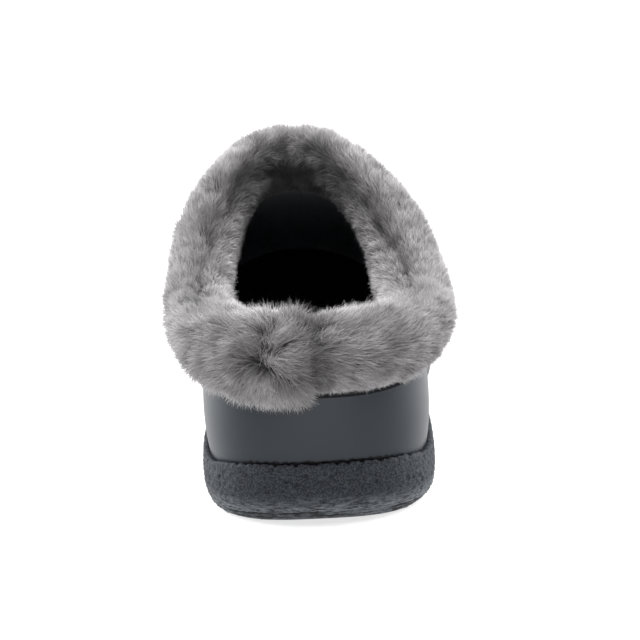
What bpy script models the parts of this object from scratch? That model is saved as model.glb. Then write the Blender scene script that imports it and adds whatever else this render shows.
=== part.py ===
"""Right-foot slip-on shoe with a deep fur cuff folded over its collar.

A crumb-textured rubber cup sole carries a footbed and a leather upper, which is open at the collar and
underneath. Sizes are in millimetres until a mesh is made. While the pieces are worked out, the foot points
along +Y from the back of the sole at y = 0, its outer side is +X and the floor is z = 0.
"""

import bmesh
import bpy
import numpy as np

MM = 0.001
GAP = 0.3  # left between pieces that meet

# Sole seen from above. The outline is two halves, each sampled evenly from heel to toe.
SOLE_LENGTH = 255.0
HEEL_HALF_WIDTH = 35.8
HEEL_ROUND = 44.0  # length of the rounded back of the heel
HEEL_SQUARENESS = 2.8  # exponent of its curve, 2 is an ellipse
TOE_SQUARENESS = 2.25
TOE_TIP_X = -7.0  # the toe leans to the inner side
HALF_STEPS = 36
LATERAL = {"sign": 1, "waist": 35.8, "waist_y": 96.0, "ball": 42.0, "ball_y": 170.0}
MEDIAL = {"sign": -1, "waist": 33.5, "waist_y": 106.0, "ball": 46.5, "ball_y": 186.0}

# Sole seen from the side
HEEL_BEVEL = 1.2  # lift of the tread at the very back
HEEL_BEVEL_LENGTH = 14.0
ARCH_LIFT = 3.5
ARCH_FROM, ARCH_TO = 72.0, 146.0
TOE_SPRING = 11.0
SPRING_FROM = 196.0
HEEL_PLATFORM, BALL_PLATFORM = 10.0, 7.5  # floor inside the cup
HEEL_RIM, BALL_RIM = 14.8, 14.5  # top edge of the cup
BACK_RIM_LIFT, BACK_RIM_LENGTH = 4.2, 24.0  # it sweeps up at the back of the heel
STEP_FROM, STEP_TO = 60.0, 150.0  # where heel heights ease into ball heights

# Wall of the sole from tread to rim: share of its height, inset from the outline
SOLE_WALL = (
    {"rise": 0.00, "inset": 3.6},
    {"rise": 0.06, "inset": 1.5},
    {"rise": 0.18, "inset": 0.5},
    {"rise": 0.36, "inset": 0.1},
    {"rise": 0.62, "inset": 0.0},
    {"rise": 0.92, "inset": 0.3},
    {"rise": 1.00, "inset": 0.7},
)
CUP_ROWS = 3  # rows of the cup's inner wall, from rim to platform

# Tread: a rib round the edge, a groove inside it, then cross grooves
RIB_INSET = 12.5
GROOVE_WIDTH, GROOVE_DEPTH, GROOVE_DRAFT = 3.0, 2.4, 0.5
CROSS_GROOVES_AT = (26.0, 38.0, 50.0, 146.0, 159.0, 172.0, 185.0, 198.0)
CROSS_GROOVE_REACH = 19.0  # inset of a cross groove's ends

# Upper: an edge curve for the collar, and a wall that rises from the sole to it
UPPER_WALL = 2.0
FEATHER_INSET = 3.2  # where the wall starts, on the platform
WALL_INSET = -0.6  # the wall's control point, which lets it lean out over the rim
COLLAR_BACK, COLLAR_FRONT = 3.5, 112.0
COLLAR_HALF_WIDTH = 33.0
COLLAR_LEAN = -5.5  # sideways shift of the throat, to the inner side
COLLAR_LEAN_POWER = 1.6  # most of the shift is near the throat
COLLAR_WIDEST = 0.44  # share of the collar's length
COLLAR_BACK_SQUARENESS, COLLAR_FRONT_SQUARENESS = 2.7, 2.0
COLLAR_TAPER, COLLAR_TAPER_POWER = 0.24, 1.5  # share of its width that the front half loses
COLLAR_FAN = 0.35  # how far the lines of the upper crowd together at the throat
COLLAR_BACK_Z, COLLAR_DIP_Z, THROAT_Z = 58.6, 56.6, 88.1
COLLAR_DIP_Y = 38.0
THROAT_RISE = 1.4

# Sections of the upper by share of the way from heel to toe. Each is a curve with two control points:
# one above the sole at wall_rise, one towards the collar by crown_reach at crown_rise.
UPPER_SECTIONS = (
    {"share": 0.00, "wall_rise": 0.26, "crown_reach": 0.10, "crown_rise": 0.68},
    {"share": 0.22, "wall_rise": 0.30, "crown_reach": 0.15, "crown_rise": 0.70},
    {"share": 0.45, "wall_rise": 0.36, "crown_reach": 0.36, "crown_rise": 0.72},
    {"share": 0.66, "wall_rise": 0.38, "crown_reach": 0.36, "crown_rise": 0.60},
    {"share": 0.85, "wall_rise": 0.41, "crown_reach": 0.34, "crown_rise": 0.46},
    {"share": 1.00, "wall_rise": 0.42, "crown_reach": 0.34, "crown_rise": 0.40},
)
LOWER_ROWS = 6
LOWER_ROW_CROWDING = 1.35  # rows lie closer towards the sole

# Footbed
FOOTBED_THICKNESS = 5.5

# Fur cuff: its outside from the lower outer edge over the collar to the lower inner edge.
# down is measured below the upper's edge, out from the middle of the upper's wall.
CUFF_SECTION = (
    {"down": 17.6, "out": 2.6},
    {"down": 19.0, "out": 5.8},
    {"down": 16.2, "out": 10.2},
    {"down": 9.4, "out": 12.2},
    {"down": 2.2, "out": 11.4},
    {"down": -3.8, "out": 8.2},
    {"down": -5.8, "out": 4.6},
    {"down": -4.6, "out": 0.8},
    {"down": -5.8, "out": -3.0},
    {"down": -4.2, "out": -6.6},
    {"down": 1.8, "out": -9.2},
    {"down": 9.0, "out": -9.0},
    {"down": 14.8, "out": -6.4},
    {"down": 15.0, "out": -3.2},
)
CREASE_ROW, CREASE_DEPTH = 7, 2.2  # between the outer and the inner fold
CREASE_FROM, CREASE_FULL = 0.12, 0.24  # it starts beside the heel, by share of the way to the throat
INNER_FOLD_FROM = 3.0  # how far in the inner fold's own sink is full
# How the section fits round the collar from the back to the throat: depth of the outer fold on each side,
# thickness of the two folds, and how far the inner fold sinks into the throat.
CUFF_FIT = (
    {"share": 0.00, "lateral": 0.98, "medial": 1.12, "outer": 1.00, "inner": 0.80, "sink": 0.0},
    {"share": 0.10, "lateral": 0.98, "medial": 1.05, "outer": 1.02, "inner": 1.10, "sink": 0.0},
    {"share": 0.20, "lateral": 1.00, "medial": 0.98, "outer": 1.04, "inner": 1.20, "sink": 0.0},
    {"share": 0.30, "lateral": 0.95, "medial": 0.95, "outer": 0.98, "inner": 1.12, "sink": 0.0},
    {"share": 0.50, "lateral": 0.85, "medial": 0.85, "outer": 1.14, "inner": 0.92, "sink": 0.5},
    {"share": 0.70, "lateral": 0.80, "medial": 0.80, "outer": 0.85, "inner": 0.95, "sink": 3.0},
    {"share": 1.00, "lateral": 0.80, "medial": 0.80, "outer": 0.95, "inner": 0.85, "sink": 5.0},
)
COVERED_DEPTH = 16.6  # how much of the upper the outer fold covers, before it is fitted
COVERED_ROWS = (1.0, 0.5, 0.0)  # rows of the upper there, as shares of that depth
CUFF_INSIDE_ROWS = 2  # how many of the covered rows its inner flap reaches down
SEAM_DEPTH = 1.4  # the cuff's ends butt at the back of the heel
SEAM_FROM_ROW = 2  # the lip below stays whole

# Rings of fur locks round the cuff. row is the place in its section, turn the lie of the hair:
# 0 is along the collar, away from the back seam, and 90 is up towards the crease.
LOCK_RINGS = (
    {"row": 2.7, "count": 20, "turn": -60.0, "length": 7.0},
    {"row": 3.2, "count": 18, "turn": -15.0, "length": 14.0},
    {"row": 4.4, "count": 16, "turn": 25.0, "length": 14.0},
    {"row": 9.0, "count": 8, "turn": 60.0, "length": 12.0},
)
# One lock from root to tip: share of its length, share of its width, height above the fur
LOCK_HALF_WIDTH, LOCK_THICKNESS = 4.2, 1.6
LOCK_STATIONS = (
    {"along": 0.00, "width": 0.50, "height": -2.6},
    {"along": 0.40, "width": 1.00, "height": -0.2},
    {"along": 0.75, "width": 0.70, "height": 0.5},
)
LOCK_TIP_HEIGHT = 1.5
LOCK_WALK_STEPS = 6

# Colours are linear, as a shader takes them.
LEATHER = {"name": "smooth_leather", "colour": (0.054, 0.061, 0.067, 1.0), "roughness": 0.38}
RUBBER = {"name": "crumb_rubber", "colour": (0.045, 0.051, 0.060, 1.0), "roughness": 0.85}
TEXTILE = {"name": "black_lining", "colour": (0.010, 0.010, 0.011, 1.0), "roughness": 0.95}
FUR = {"name": "grey_fur", "colour": (0.300, 0.290, 0.296, 1.0), "roughness": 0.90}


def eased(share):
    """0 to 1 with level ends."""
    share = np.clip(share, 0.0, 1.0)
    return share * share * (3.0 - 2.0 * share)


def unit(vectors):
    return vectors / np.linalg.norm(vectors, axis=-1, keepdims=True)


def column(table, name):
    return [row[name] for row in table]


def spring(y):
    """How far the toe end is lifted off the floor."""
    return TOE_SPRING * np.clip((y - SPRING_FROM) / (SOLE_LENGTH - SPRING_FROM), 0.0, 1.0) ** 2


def tread_height(y):
    bevel = HEEL_BEVEL * np.clip(1.0 - y / HEEL_BEVEL_LENGTH, 0.0, 1.0) ** 2
    arch = ARCH_LIFT * np.sin(np.pi * np.clip((y - ARCH_FROM) / (ARCH_TO - ARCH_FROM), 0.0, 1.0)) ** 2
    return bevel + arch + spring(y)


def stepped(y, heel, ball):
    """A height that eases from heel to ball and follows the toe spring."""
    return heel + (ball - heel) * eased((y - STEP_FROM) / (STEP_TO - STEP_FROM)) + spring(y)


def platform_height(y):
    return stepped(y, HEEL_PLATFORM, BALL_PLATFORM)


def rim_height(y):
    return stepped(y, HEEL_RIM, BALL_RIM) + BACK_RIM_LIFT * eased(1.0 - y / BACK_RIM_LENGTH)


def half_outline(side):
    """One side of the sole from heel to toe: rounded heel, waist, ball and rounded toe."""
    turn = np.linspace(0.0, np.pi / 2, 60)
    heel_power, toe_power = 2.0 / HEEL_SQUARENESS, 2.0 / TOE_SQUARENESS
    heel_x = HEEL_HALF_WIDTH * np.sin(turn) ** heel_power
    heel_y = HEEL_ROUND * (1.0 - np.cos(turn) ** heel_power)
    body_y = np.linspace(HEEL_ROUND, side["ball_y"], 60)[1:-1]
    to_waist = eased((body_y - HEEL_ROUND) / (side["waist_y"] - HEEL_ROUND))
    to_ball = eased((body_y - side["waist_y"]) / (side["ball_y"] - side["waist_y"]))
    body_x = (HEEL_HALF_WIDTH + (side["waist"] - HEEL_HALF_WIDTH) * to_waist
              + (side["ball"] - side["waist"]) * to_ball)
    tip = TOE_TIP_X * side["sign"]
    toe_x = tip + (side["ball"] - tip) * np.cos(turn) ** toe_power
    toe_y = side["ball_y"] + (SOLE_LENGTH - side["ball_y"]) * np.sin(turn) ** toe_power
    x = np.concatenate([heel_x, body_x, toe_x]) * side["sign"]
    y = np.concatenate([heel_y, body_y, toe_y])
    along = np.concatenate([[0.0], np.cumsum(np.hypot(np.diff(x), np.diff(y)))])
    even = np.linspace(0.0, along[-1], HALF_STEPS + 1)
    return np.column_stack([np.interp(even, along, x), np.interp(even, along, y)])


def joined_halves(lateral, medial):
    """A closed loop from the heel round the outer side to the toe and back along the inner side."""
    return np.concatenate([lateral, medial[-2:0:-1]])


STEPS = np.arange(HALF_STEPS + 1) / HALF_STEPS
SHARES = joined_halves(STEPS, STEPS)  # how far each point of a loop is from heel to toe
SIDES = joined_halves(np.ones(HALF_STEPS + 1), -np.ones(HALF_STEPS + 1))
OUTLINE = joined_halves(half_outline(LATERAL), half_outline(MEDIAL))
ALONG_OUTLINE = unit(np.roll(OUTLINE, -1, axis=0) - np.roll(OUTLINE, 1, axis=0))
OUTWARD = np.column_stack([ALONG_OUTLINE[:, 1], -ALONG_OUTLINE[:, 0]])


def inset_outline(inset):
    return OUTLINE - OUTWARD * inset


def lifted(plan, height):
    """A ring of points over a plan outline, with the height at each point."""
    return np.column_stack([plan, np.broadcast_to(height, len(plan))])


FOOT = inset_outline(FEATHER_INSET)  # where the upper stands on the platform
FOOTBED_BASE = platform_height(FOOT[:, 1]) + GAP


def collar_edge():
    """The upper's top edge: an egg in plan that dips at the sides and climbs to the throat."""
    fan = 1.0 - (1.0 - SHARES) * (COLLAR_FAN + (1.0 - COLLAR_FAN) * (1.0 - SHARES))
    turn = np.pi * (fan - 0.5)
    front = turn > 0.0
    power = 2.0 / np.where(front, COLLAR_FRONT_SQUARENESS, COLLAR_BACK_SQUARENESS)
    length = COLLAR_FRONT - COLLAR_BACK
    middle = COLLAR_BACK + COLLAR_WIDEST * length
    reach = np.where(front, COLLAR_FRONT - middle, middle - COLLAR_BACK)
    y = middle + reach * np.sign(turn) * np.abs(np.sin(turn)) ** power
    lean = COLLAR_LEAN * ((y - COLLAR_BACK) / length) ** COLLAR_LEAN_POWER
    narrowed = np.clip((y - middle) / (COLLAR_FRONT - middle), 0.0, 1.0) ** COLLAR_TAPER_POWER
    taper = 1.0 - COLLAR_TAPER * narrowed
    x = SIDES * COLLAR_HALF_WIDTH * taper * np.cos(turn).clip(0.0) ** power + lean
    dip = eased((y - COLLAR_BACK) / (COLLAR_DIP_Y - COLLAR_BACK))
    climb = eased(np.clip((y - COLLAR_DIP_Y) / (COLLAR_FRONT - COLLAR_DIP_Y), 0.0, 1.0) ** THROAT_RISE)
    z = COLLAR_BACK_Z + (COLLAR_DIP_Z - COLLAR_BACK_Z) * dip + (THROAT_Z - COLLAR_DIP_Z) * climb
    return np.column_stack([x, y, z])


def upper_curves():
    """Dense points of the upper's outside, one curve from sole to collar for each point of the outline."""
    start = lifted(FOOT, FOOTBED_BASE)
    end = collar_edge()
    shares = column(UPPER_SECTIONS, "share")
    wall_rise, crown_reach, crown_rise = (
        np.interp(SHARES, shares, column(UPPER_SECTIONS, name))
        for name in ("wall_rise", "crown_reach", "crown_rise")
    )
    climb = end[:, 2] - start[:, 2]
    wall = lifted(inset_outline(WALL_INSET), start[:, 2] + wall_rise * climb)
    crown_plan = OUTLINE + (end[:, :2] - OUTLINE) * crown_reach[:, None]
    crown = lifted(crown_plan, start[:, 2] + crown_rise * climb)
    t = np.linspace(0.0, 1.0, 161)[None, :, None]
    corners = [points[:, None, :] for points in (start, wall, crown, end)]
    return ((1 - t) ** 3 * corners[0] + 3 * (1 - t) ** 2 * t * corners[1]
            + 3 * (1 - t) * t ** 2 * corners[2] + t ** 3 * corners[3])


def cuff_fit(name):
    """A column of the cuff's fit, read for each line of the upper."""
    return np.interp(SHARES, column(CUFF_FIT, "share"), column(CUFF_FIT, name))


def cuff_depth():
    """How deep the outer fold hangs at each line, as a share of its section."""
    return np.where(SIDES < 0, cuff_fit("medial"), cuff_fit("lateral"))


def covered_rows():
    """Distances below the edge for the rows of the upper that the cuff covers."""
    return [COVERED_DEPTH * share * cuff_depth() for share in COVERED_ROWS]


class UpperForm:
    """The outside of the upper, with a point and a normal at any distance below the collar's edge."""

    def __init__(self):
        self.curves = upper_curves()
        along = np.roll(self.curves, -1, axis=0) - np.roll(self.curves, 1, axis=0)
        up = np.gradient(self.curves, axis=1)
        self.normals = unit(np.cross(along, up))
        steps = np.linalg.norm(np.diff(self.curves, axis=1), axis=2)
        climbed = np.concatenate([np.zeros((len(steps), 1)), np.cumsum(steps, axis=1)], axis=1)
        self.lengths = climbed[:, -1]
        self.below = self.lengths[:, None] - climbed

    def _read(self, field, key, value):
        """Each curve's field where its key, which falls or rises steadily, has the value."""
        rows = []
        for curve, keys, wanted in zip(field, key, np.broadcast_to(value, len(field))):
            order = np.argsort(keys)
            rows.append([np.interp(wanted, keys[order], curve[order, axis]) for axis in range(3)])
        return np.array(rows)

    def ring(self, down, out=0.0):
        """A ring at a distance below the edge, or above it where down is negative, moved out by a distance."""
        kept = np.clip(down, 0.0, self.lengths)
        normals = unit(self._read(self.normals, self.below, kept))
        above = np.clip(-np.asarray(down), 0.0, None)
        upward = unit(self.curves[:, -1] - self.curves[:, -8])
        moved = np.broadcast_to(out, len(normals))[:, None] * normals
        raised = np.broadcast_to(above, len(normals))[:, None] * upward
        return self._read(self.curves, self.below, kept) + moved + raised

    def down_at_height(self, height):
        """How far below the edge each curve passes a height low on the wall."""
        low = self.curves.shape[1] // 3
        return np.array([
            np.interp(wanted, curve[:low, 2], below[:low])
            for wanted, curve, below in zip(height, self.curves, self.below)
        ])

    def rows_down(self):
        """Distances below the edge for the rows of the upper's mesh, from the sole up to the edge."""
        footbed_top = self.down_at_height(FOOTBED_BASE + FOOTBED_THICKNESS)
        covered = covered_rows()
        shares = (np.arange(LOWER_ROWS) / LOWER_ROWS) ** LOWER_ROW_CROWDING
        lower = [footbed_top + (covered[0] - footbed_top) * share for share in shares]
        return [self.lengths] + lower + covered


def new_object(name, bm, material, parent):
    """Turns a closed bmesh in millimetres into an object in metres, faces outward."""
    bmesh.ops.recalc_face_normals(bm, faces=bm.faces)
    bmesh.ops.triangulate(bm, faces=bm.faces, quad_method="FIXED")
    bmesh.ops.scale(bm, vec=(MM, MM, MM), verts=bm.verts)
    mesh = bpy.data.meshes.new(name)
    bm.to_mesh(mesh)
    bm.free()
    mesh.shade_smooth()
    mesh.set_sharp_from_angle(angle=np.radians(40.0))
    obj = bpy.data.objects.new(name, mesh)
    obj.parent = parent
    bpy.context.scene.collection.objects.link(obj)
    mesh.materials.append(plain_material(**material))
    return obj


def plain_material(name, colour, roughness):
    material = bpy.data.materials.new(name)
    material.use_nodes = True
    shader = material.node_tree.nodes["Principled BSDF"]
    shader.inputs["Base Color"].default_value = colour
    shader.inputs["Roughness"].default_value = roughness
    shader.inputs["Metallic"].default_value = 0.0
    return material


def add_rings(bm, rings):
    return [[bm.verts.new(point) for point in ring] for ring in rings]


def bridge(bm, lower, upper):
    """A band of faces between two rings of the same count."""
    count = len(lower)
    for i in range(count):
        j = (i + 1) % count
        bm.faces.new((lower[i], lower[j], upper[j], upper[i]))


def fill_across(bm, ring):
    """Closes a heel-to-toe ring with strips from its outer to its inner side."""
    count = len(ring)
    for i in range(count // 2):
        corners = (ring[i], ring[i + 1], ring[-i - 1], ring[-i])
        bm.faces.new(dict.fromkeys(corners))


def closed_band(rings):
    """A solid whose section is a closed loop of rings, as a wall or a cuff is."""
    bm = bmesh.new()
    made = add_rings(bm, rings)
    for lower, upper in zip(made, made[1:] + made[:1]):
        bridge(bm, lower, upper)
    return bm


def closed_slab(rings):
    """A solid whose first and last ring are filled in, as a sole or a footbed is."""
    bm = bmesh.new()
    made = add_rings(bm, rings)
    for lower, upper in zip(made, made[1:]):
        bridge(bm, lower, upper)
    fill_across(bm, made[0])
    fill_across(bm, made[-1])
    return bm


def outsole_rings(form):
    """From the middle of the tread out to its edge, up the wall, over the rim and down into the cup."""
    def tread_ring(inset, depth=0.0):
        plan = inset_outline(inset)
        return lifted(plan, tread_height(plan[:, 1]) + depth)

    groove_end = RIB_INSET + GROOVE_WIDTH
    rings = [
        tread_ring(groove_end),
        tread_ring(groove_end - GROOVE_DRAFT, GROOVE_DEPTH),
        tread_ring(RIB_INSET + GROOVE_DRAFT, GROOVE_DEPTH),
        tread_ring(RIB_INSET),
    ]
    for row in SOLE_WALL:
        plan = inset_outline(row["inset"])
        bottom = tread_height(plan[:, 1])
        rings.append(lifted(plan, bottom + row["rise"] * (rim_height(plan[:, 1]) - bottom)))
    rim = rings[-1][:, 2]
    floor = platform_height(FOOT[:, 1])
    for share in np.linspace(1.0, 0.0, CUP_ROWS):
        height = np.maximum(floor + (rim - floor) * share, floor + GAP)
        rings.append(form.ring(form.down_at_height(height), GAP))
    rings[-1][:, 2] = floor
    return rings


def add_cutter(name, bm, target):
    """A hidden helper that is cut out of the target."""
    cutter = new_object(name, bm, RUBBER, target.parent)
    cutter.hide_render = True
    cutter.display_type = "WIRE"
    cut = target.modifiers.new(name, "BOOLEAN")
    cut.operation = "DIFFERENCE"
    cut.object = cutter


def cut_cross_grooves(outsole):
    """Straight grooves across the heel and forefoot tread, as one hidden cutter."""
    inner = inset_outline(CROSS_GROOVE_REACH)
    halves = {"lateral": inner[:HALF_STEPS + 1], "medial": inner[HALF_STEPS:][::-1]}
    bm = bmesh.new()
    for y in CROSS_GROOVES_AT:
        lateral, medial = (np.interp(y, half[:, 1], half[:, 0]) for half in halves.values())
        corners = bmesh.ops.create_cube(bm, size=1.0)["verts"]
        size = (lateral - medial, GROOVE_WIDTH, 2.0 * GROOVE_DEPTH)
        bmesh.ops.scale(bm, vec=size, verts=corners)
        bmesh.ops.translate(bm, vec=((lateral + medial) / 2, y, float(spring(y))), verts=corners)
    add_cutter("cross_grooves", bm, outsole)


def footbed_rings(form):
    """A slab inside the upper, on the platform, that ends at a row of the upper's mesh."""
    rows = form.rows_down()
    low, high = (form.ring(down, -(UPPER_WALL + GAP)) for down in rows[:2])
    low[:, 2] = FOOTBED_BASE
    return [low, high]


def upper_rings(form):
    """The outside from sole to collar, then the inside back down."""
    rows = form.rows_down()
    outside = [form.ring(down) for down in rows]
    inside = [form.ring(down, -UPPER_WALL) for down in rows[::-1]]
    inside[-1][:, 2] = outside[0][:, 2]
    return outside + inside


def fur_rings(form):
    """The outside of the cuff, with its butt seam at the back of the heel."""
    depth = cuff_depth()
    outer, inner, sink = (cuff_fit(name) for name in ("outer", "inner", "sink"))
    crease = CREASE_DEPTH * eased((SHARES - CREASE_FROM) / (CREASE_FULL - CREASE_FROM))
    at_seam = np.where(SHARES == 0.0, SEAM_DEPTH, 0.0)
    rings = []
    for number, row in enumerate(CUFF_SECTION):
        down = row["down"] + sink * eased(-row["out"] / INNER_FOLD_FROM) + crease * (number == CREASE_ROW)
        out = row["out"] * inner - UPPER_WALL / 2
        if row["out"] > 0:
            down = down * np.where(down > 0, depth, 1.0)
            out = row["out"] * outer - UPPER_WALL / 2 - at_seam * (number >= SEAM_FROM_ROW)
        rings.append(form.ring(down, out))
    return rings


def cuff_rings(form):
    """A fold over the collar: the slot that the upper's edge fills, then the fur's surface."""
    covered = covered_rows()
    slot_outside = [form.ring(down, GAP) for down in covered]
    slot_top = [form.ring(-GAP, GAP), form.ring(-GAP, -UPPER_WALL - GAP)]
    reached = covered[-CUFF_INSIDE_ROWS:][::-1]
    slot_inside = [form.ring(down, -UPPER_WALL - GAP) for down in reached]
    return slot_outside[:-1] + slot_top + slot_inside[1:] + fur_rings(form)[::-1]


class FurSurface:
    """The cuff's outside as a surface with a place along its section and one round the collar."""

    def __init__(self, form):
        self.grid = np.array(fur_rings(form))
        self.lines = self.grid.shape[1]

    def point(self, row, line):
        """Halfway points are mixed from the four nearest of the grid."""
        i = int(np.clip(np.floor(row), 0, len(self.grid) - 2))
        j = int(np.floor(line))
        near = self.grid[[i, i + 1]][:, [j % self.lines, (j + 1) % self.lines]]
        across = near[:, 0] + (near[:, 1] - near[:, 0]) * (line - j)
        return across[0] + (across[1] - across[0]) * (row - i)

    def frame(self, row, line):
        """A point with the directions along the collar, up the section and out of the fur."""
        along = self.point(row, line + 0.5) - self.point(row, line - 0.5)
        up = self.point(row + 0.5, line) - self.point(row - 0.5, line)
        return self.point(row, line), along, up, unit(np.cross(along, up))


def walk(fur, row, line, turn, length):
    """Follows the lie of the hair over the fur in short steps."""
    away = 1.0 if line < fur.lines / 2 else -1.0
    for _ in range(LOCK_WALK_STEPS):
        _, along, up, _ = fur.frame(row, line)
        step = length / LOCK_WALK_STEPS
        line += step * away * np.cos(turn) / np.linalg.norm(along)
        row += step * np.sin(turn) / np.linalg.norm(up)
    return row, line


def add_lock(bm, fur, row, line, turn, length):
    """One tapered lock that lies along the fur from a sunk root to a free tip."""
    rings = []
    for station in LOCK_STATIONS:
        place, along, up, normal = fur.frame(*walk(fur, row, line, turn, length * station["along"]))
        flow = unit(along) * np.cos(turn) * (1.0 if line < fur.lines / 2 else -1.0) + unit(up) * np.sin(turn)
        middle = place + normal * station["height"]
        side = unit(np.cross(normal, flow)) * LOCK_HALF_WIDTH * station["width"]
        thick = normal * LOCK_THICKNESS * station["width"]
        rings.append([bm.verts.new(middle + corner) for corner in (side, thick, -side, -thick)])
    for lower, upper in zip(rings, rings[1:]):
        bridge(bm, lower, upper)
    bm.faces.new(rings[0])
    place, _, _, normal = fur.frame(*walk(fur, row, line, turn, length))
    tip = bm.verts.new(place + normal * LOCK_TIP_HEIGHT)
    for i in range(4):
        bm.faces.new((rings[-1][i], rings[-1][(i + 1) % 4], tip))


def fur_locks(form):
    """Rings of locks, each ring set half a space round from the one below."""
    fur = FurSurface(form)
    bm = bmesh.new()
    for number, ring in enumerate(LOCK_RINGS):
        middle_row = np.array([fur.point(ring["row"], line) for line in range(fur.lines)])
        walked = np.linalg.norm(np.roll(middle_row, -1, axis=0) - middle_row, axis=1).cumsum()
        walked = np.concatenate([[0.0], walked])
        for k in range(ring["count"]):
            share = (k + 0.5 + 0.25 * (-1) ** number) / ring["count"]
            line = np.interp(share * walked[-1], walked, np.arange(fur.lines + 1))
            add_lock(bm, fur, ring["row"], line, np.radians(ring["turn"]), ring["length"])
    return bm


def fuse_locks(cuff, form):
    """Joins the locks to the cuff, so that both are one body."""
    locks = new_object("fur_locks", fur_locks(form), FUR, cuff.parent)
    locks.hide_render = True
    locks.display_type = "WIRE"
    fuse = cuff.modifiers.new("locks", "BOOLEAN")
    fuse.operation = "UNION"
    fuse.use_self = True
    fuse.object = locks


def centre_on_floor(shoe):
    """Moves the whole shoe so that its box is centred over the origin."""
    bpy.context.view_layer.update()
    graph = bpy.context.evaluated_depsgraph_get()
    corners = np.array([
        corner for piece in shoe.children if not piece.hide_render
        for corner in piece.evaluated_get(graph).bound_box
    ])
    middle = (corners.min(axis=0) + corners.max(axis=0)) / 2
    shoe.location = (-middle[0], -middle[1], 0.0)


def main():
    for old in list(bpy.data.objects):
        bpy.data.objects.remove(old)
    shoe = bpy.data.objects.new("shoe", None)
    bpy.context.scene.collection.objects.link(shoe)
    form = UpperForm()
    outsole = new_object("outsole", closed_slab(outsole_rings(form)), RUBBER, shoe)
    cut_cross_grooves(outsole)
    new_object("insole", closed_slab(footbed_rings(form)), TEXTILE, shoe)
    new_object("upper", closed_band(upper_rings(form)), LEATHER, shoe)
    cuff = new_object("fur_cuff", closed_band(cuff_rings(form)), FUR, shoe)
    fuse_locks(cuff, form)
    centre_on_floor(shoe)


main()
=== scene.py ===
import bmesh
import bpy
import numpy as np
from mathutils import Euler, Matrix, Vector, noise


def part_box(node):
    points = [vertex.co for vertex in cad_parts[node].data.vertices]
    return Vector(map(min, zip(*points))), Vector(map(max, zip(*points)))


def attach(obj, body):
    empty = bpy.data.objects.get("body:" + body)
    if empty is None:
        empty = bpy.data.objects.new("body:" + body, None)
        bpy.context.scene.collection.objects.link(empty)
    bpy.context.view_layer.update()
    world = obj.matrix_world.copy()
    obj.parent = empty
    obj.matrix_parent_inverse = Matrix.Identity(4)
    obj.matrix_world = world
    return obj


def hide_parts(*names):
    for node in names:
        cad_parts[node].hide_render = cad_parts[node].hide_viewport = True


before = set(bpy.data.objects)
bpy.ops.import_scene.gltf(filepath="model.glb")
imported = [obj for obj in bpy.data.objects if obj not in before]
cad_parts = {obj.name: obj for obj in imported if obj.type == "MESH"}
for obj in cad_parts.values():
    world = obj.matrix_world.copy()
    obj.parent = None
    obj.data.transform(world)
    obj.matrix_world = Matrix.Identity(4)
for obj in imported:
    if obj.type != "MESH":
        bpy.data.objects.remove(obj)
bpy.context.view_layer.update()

# Outsole: a cup of dark crumb rubber, moulded in one piece with a rolled-under edge and a ragged rim. The
# upper is cemented into it and the footbed lies in it. While a shape is worked out, sizes are millimetres
# from the back of the heel at y = 0, with the floor at z = 0, the toe along +Y and the outer side at +X.
MM = 0.001
GAP = 0.3  # between pieces that lie against each other
SOLE_LENGTH = 255.0
HEEL_HALF_WIDTH, HEEL_ROUND, HEEL_SQUARENESS = 35.8, 44.0, 2.8
TOE_SQUARENESS, TOE_TIP_X = 2.25, -7.0
LATERAL = {"sign": 1, "waist": 35.8, "waist_y": 96.0, "ball": 42.0, "ball_y": 170.0}
MEDIAL = {"sign": -1, "waist": 33.5, "waist_y": 106.0, "ball": 46.5, "ball_y": 186.0}
HEEL_BEVEL, HEEL_BEVEL_LENGTH = 1.2, 14.0
ARCH_LIFT, ARCH_FROM, ARCH_TO = 3.5, 72.0, 146.0
TOE_SPRING, SPRING_FROM = 11.0, 196.0
HEEL_PLATFORM, BALL_PLATFORM = 10.0, 7.5
HEEL_RIM, BALL_RIM = 14.8, 14.5
BACK_RIM_LIFT, BACK_RIM_LENGTH = 4.2, 24.0
STEP_FROM, STEP_TO = 60.0, 150.0
SOLE_WALL = {
    "rise": (0.0, 0.06, 0.18, 0.36, 0.62, 0.92, 1.0),
    "inset": (3.6, 1.5, 0.5, 0.1, 0.0, 0.3, 0.7),
}
SOLE_STEPS, SOLE_WALL_ROWS, CURVE_SAMPLES = 560, 60, 400
RIB_INSET, GROOVE_WIDTH, GROOVE_DEPTH, GROOVE_DRAFT = 12.5, 3.0, 2.4, 0.5
TREAD_EDGE_INSET = 8.0
CROSS_GROOVES_AT = (26.0, 38.0, 50.0, 146.0, 159.0, 172.0, 185.0, 198.0)
CROSS_GROOVE_REACH = 19.0
CRUMB_SIZE, CRUMB_HEIGHT, FINE_CRUMB = 1.5, 0.22, 0.6  # grains that stand out of the wall, and finer ones
CRUMB_FADE_ROWS = 2.0  # the grain starts above the tread's edge
PIT_SIZE, PIT_SHARE, PIT_DEPTH, PIT_RADIUS = 2.6, 0.12, 0.55, 0.38  # torn-out grains
PIT_PICK = 7.3  # spreads the grains' places, so that the torn-out ones are scattered
RIM_RAG, RIM_RAG_SIZE, RIM_RAG_FADE = 1.5, 1.5, (0.1, 0.4, 0.8, 1.0)  # the torn flash along the rim
RIM_RAG_LEVEL, RIM_RAG_BIAS, RIM_RAG_SIDES = 3.0, 0.1, 0.5  # it is half as deep at the sides
RIM_GUTTER, CUP_ROWS = 0.4, 3  # the rim falls away towards the leather
RIM_GAPES_TO, RIM_TIGHT_FROM, RIM_TIGHT_GAP = 0.07, 0.11, 0.03  # it gapes at the back only
MOULD_LINES = ({"rise": 0.125, "depth": 0.8}, {"rise": 0.06, "depth": 0.6})
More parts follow.
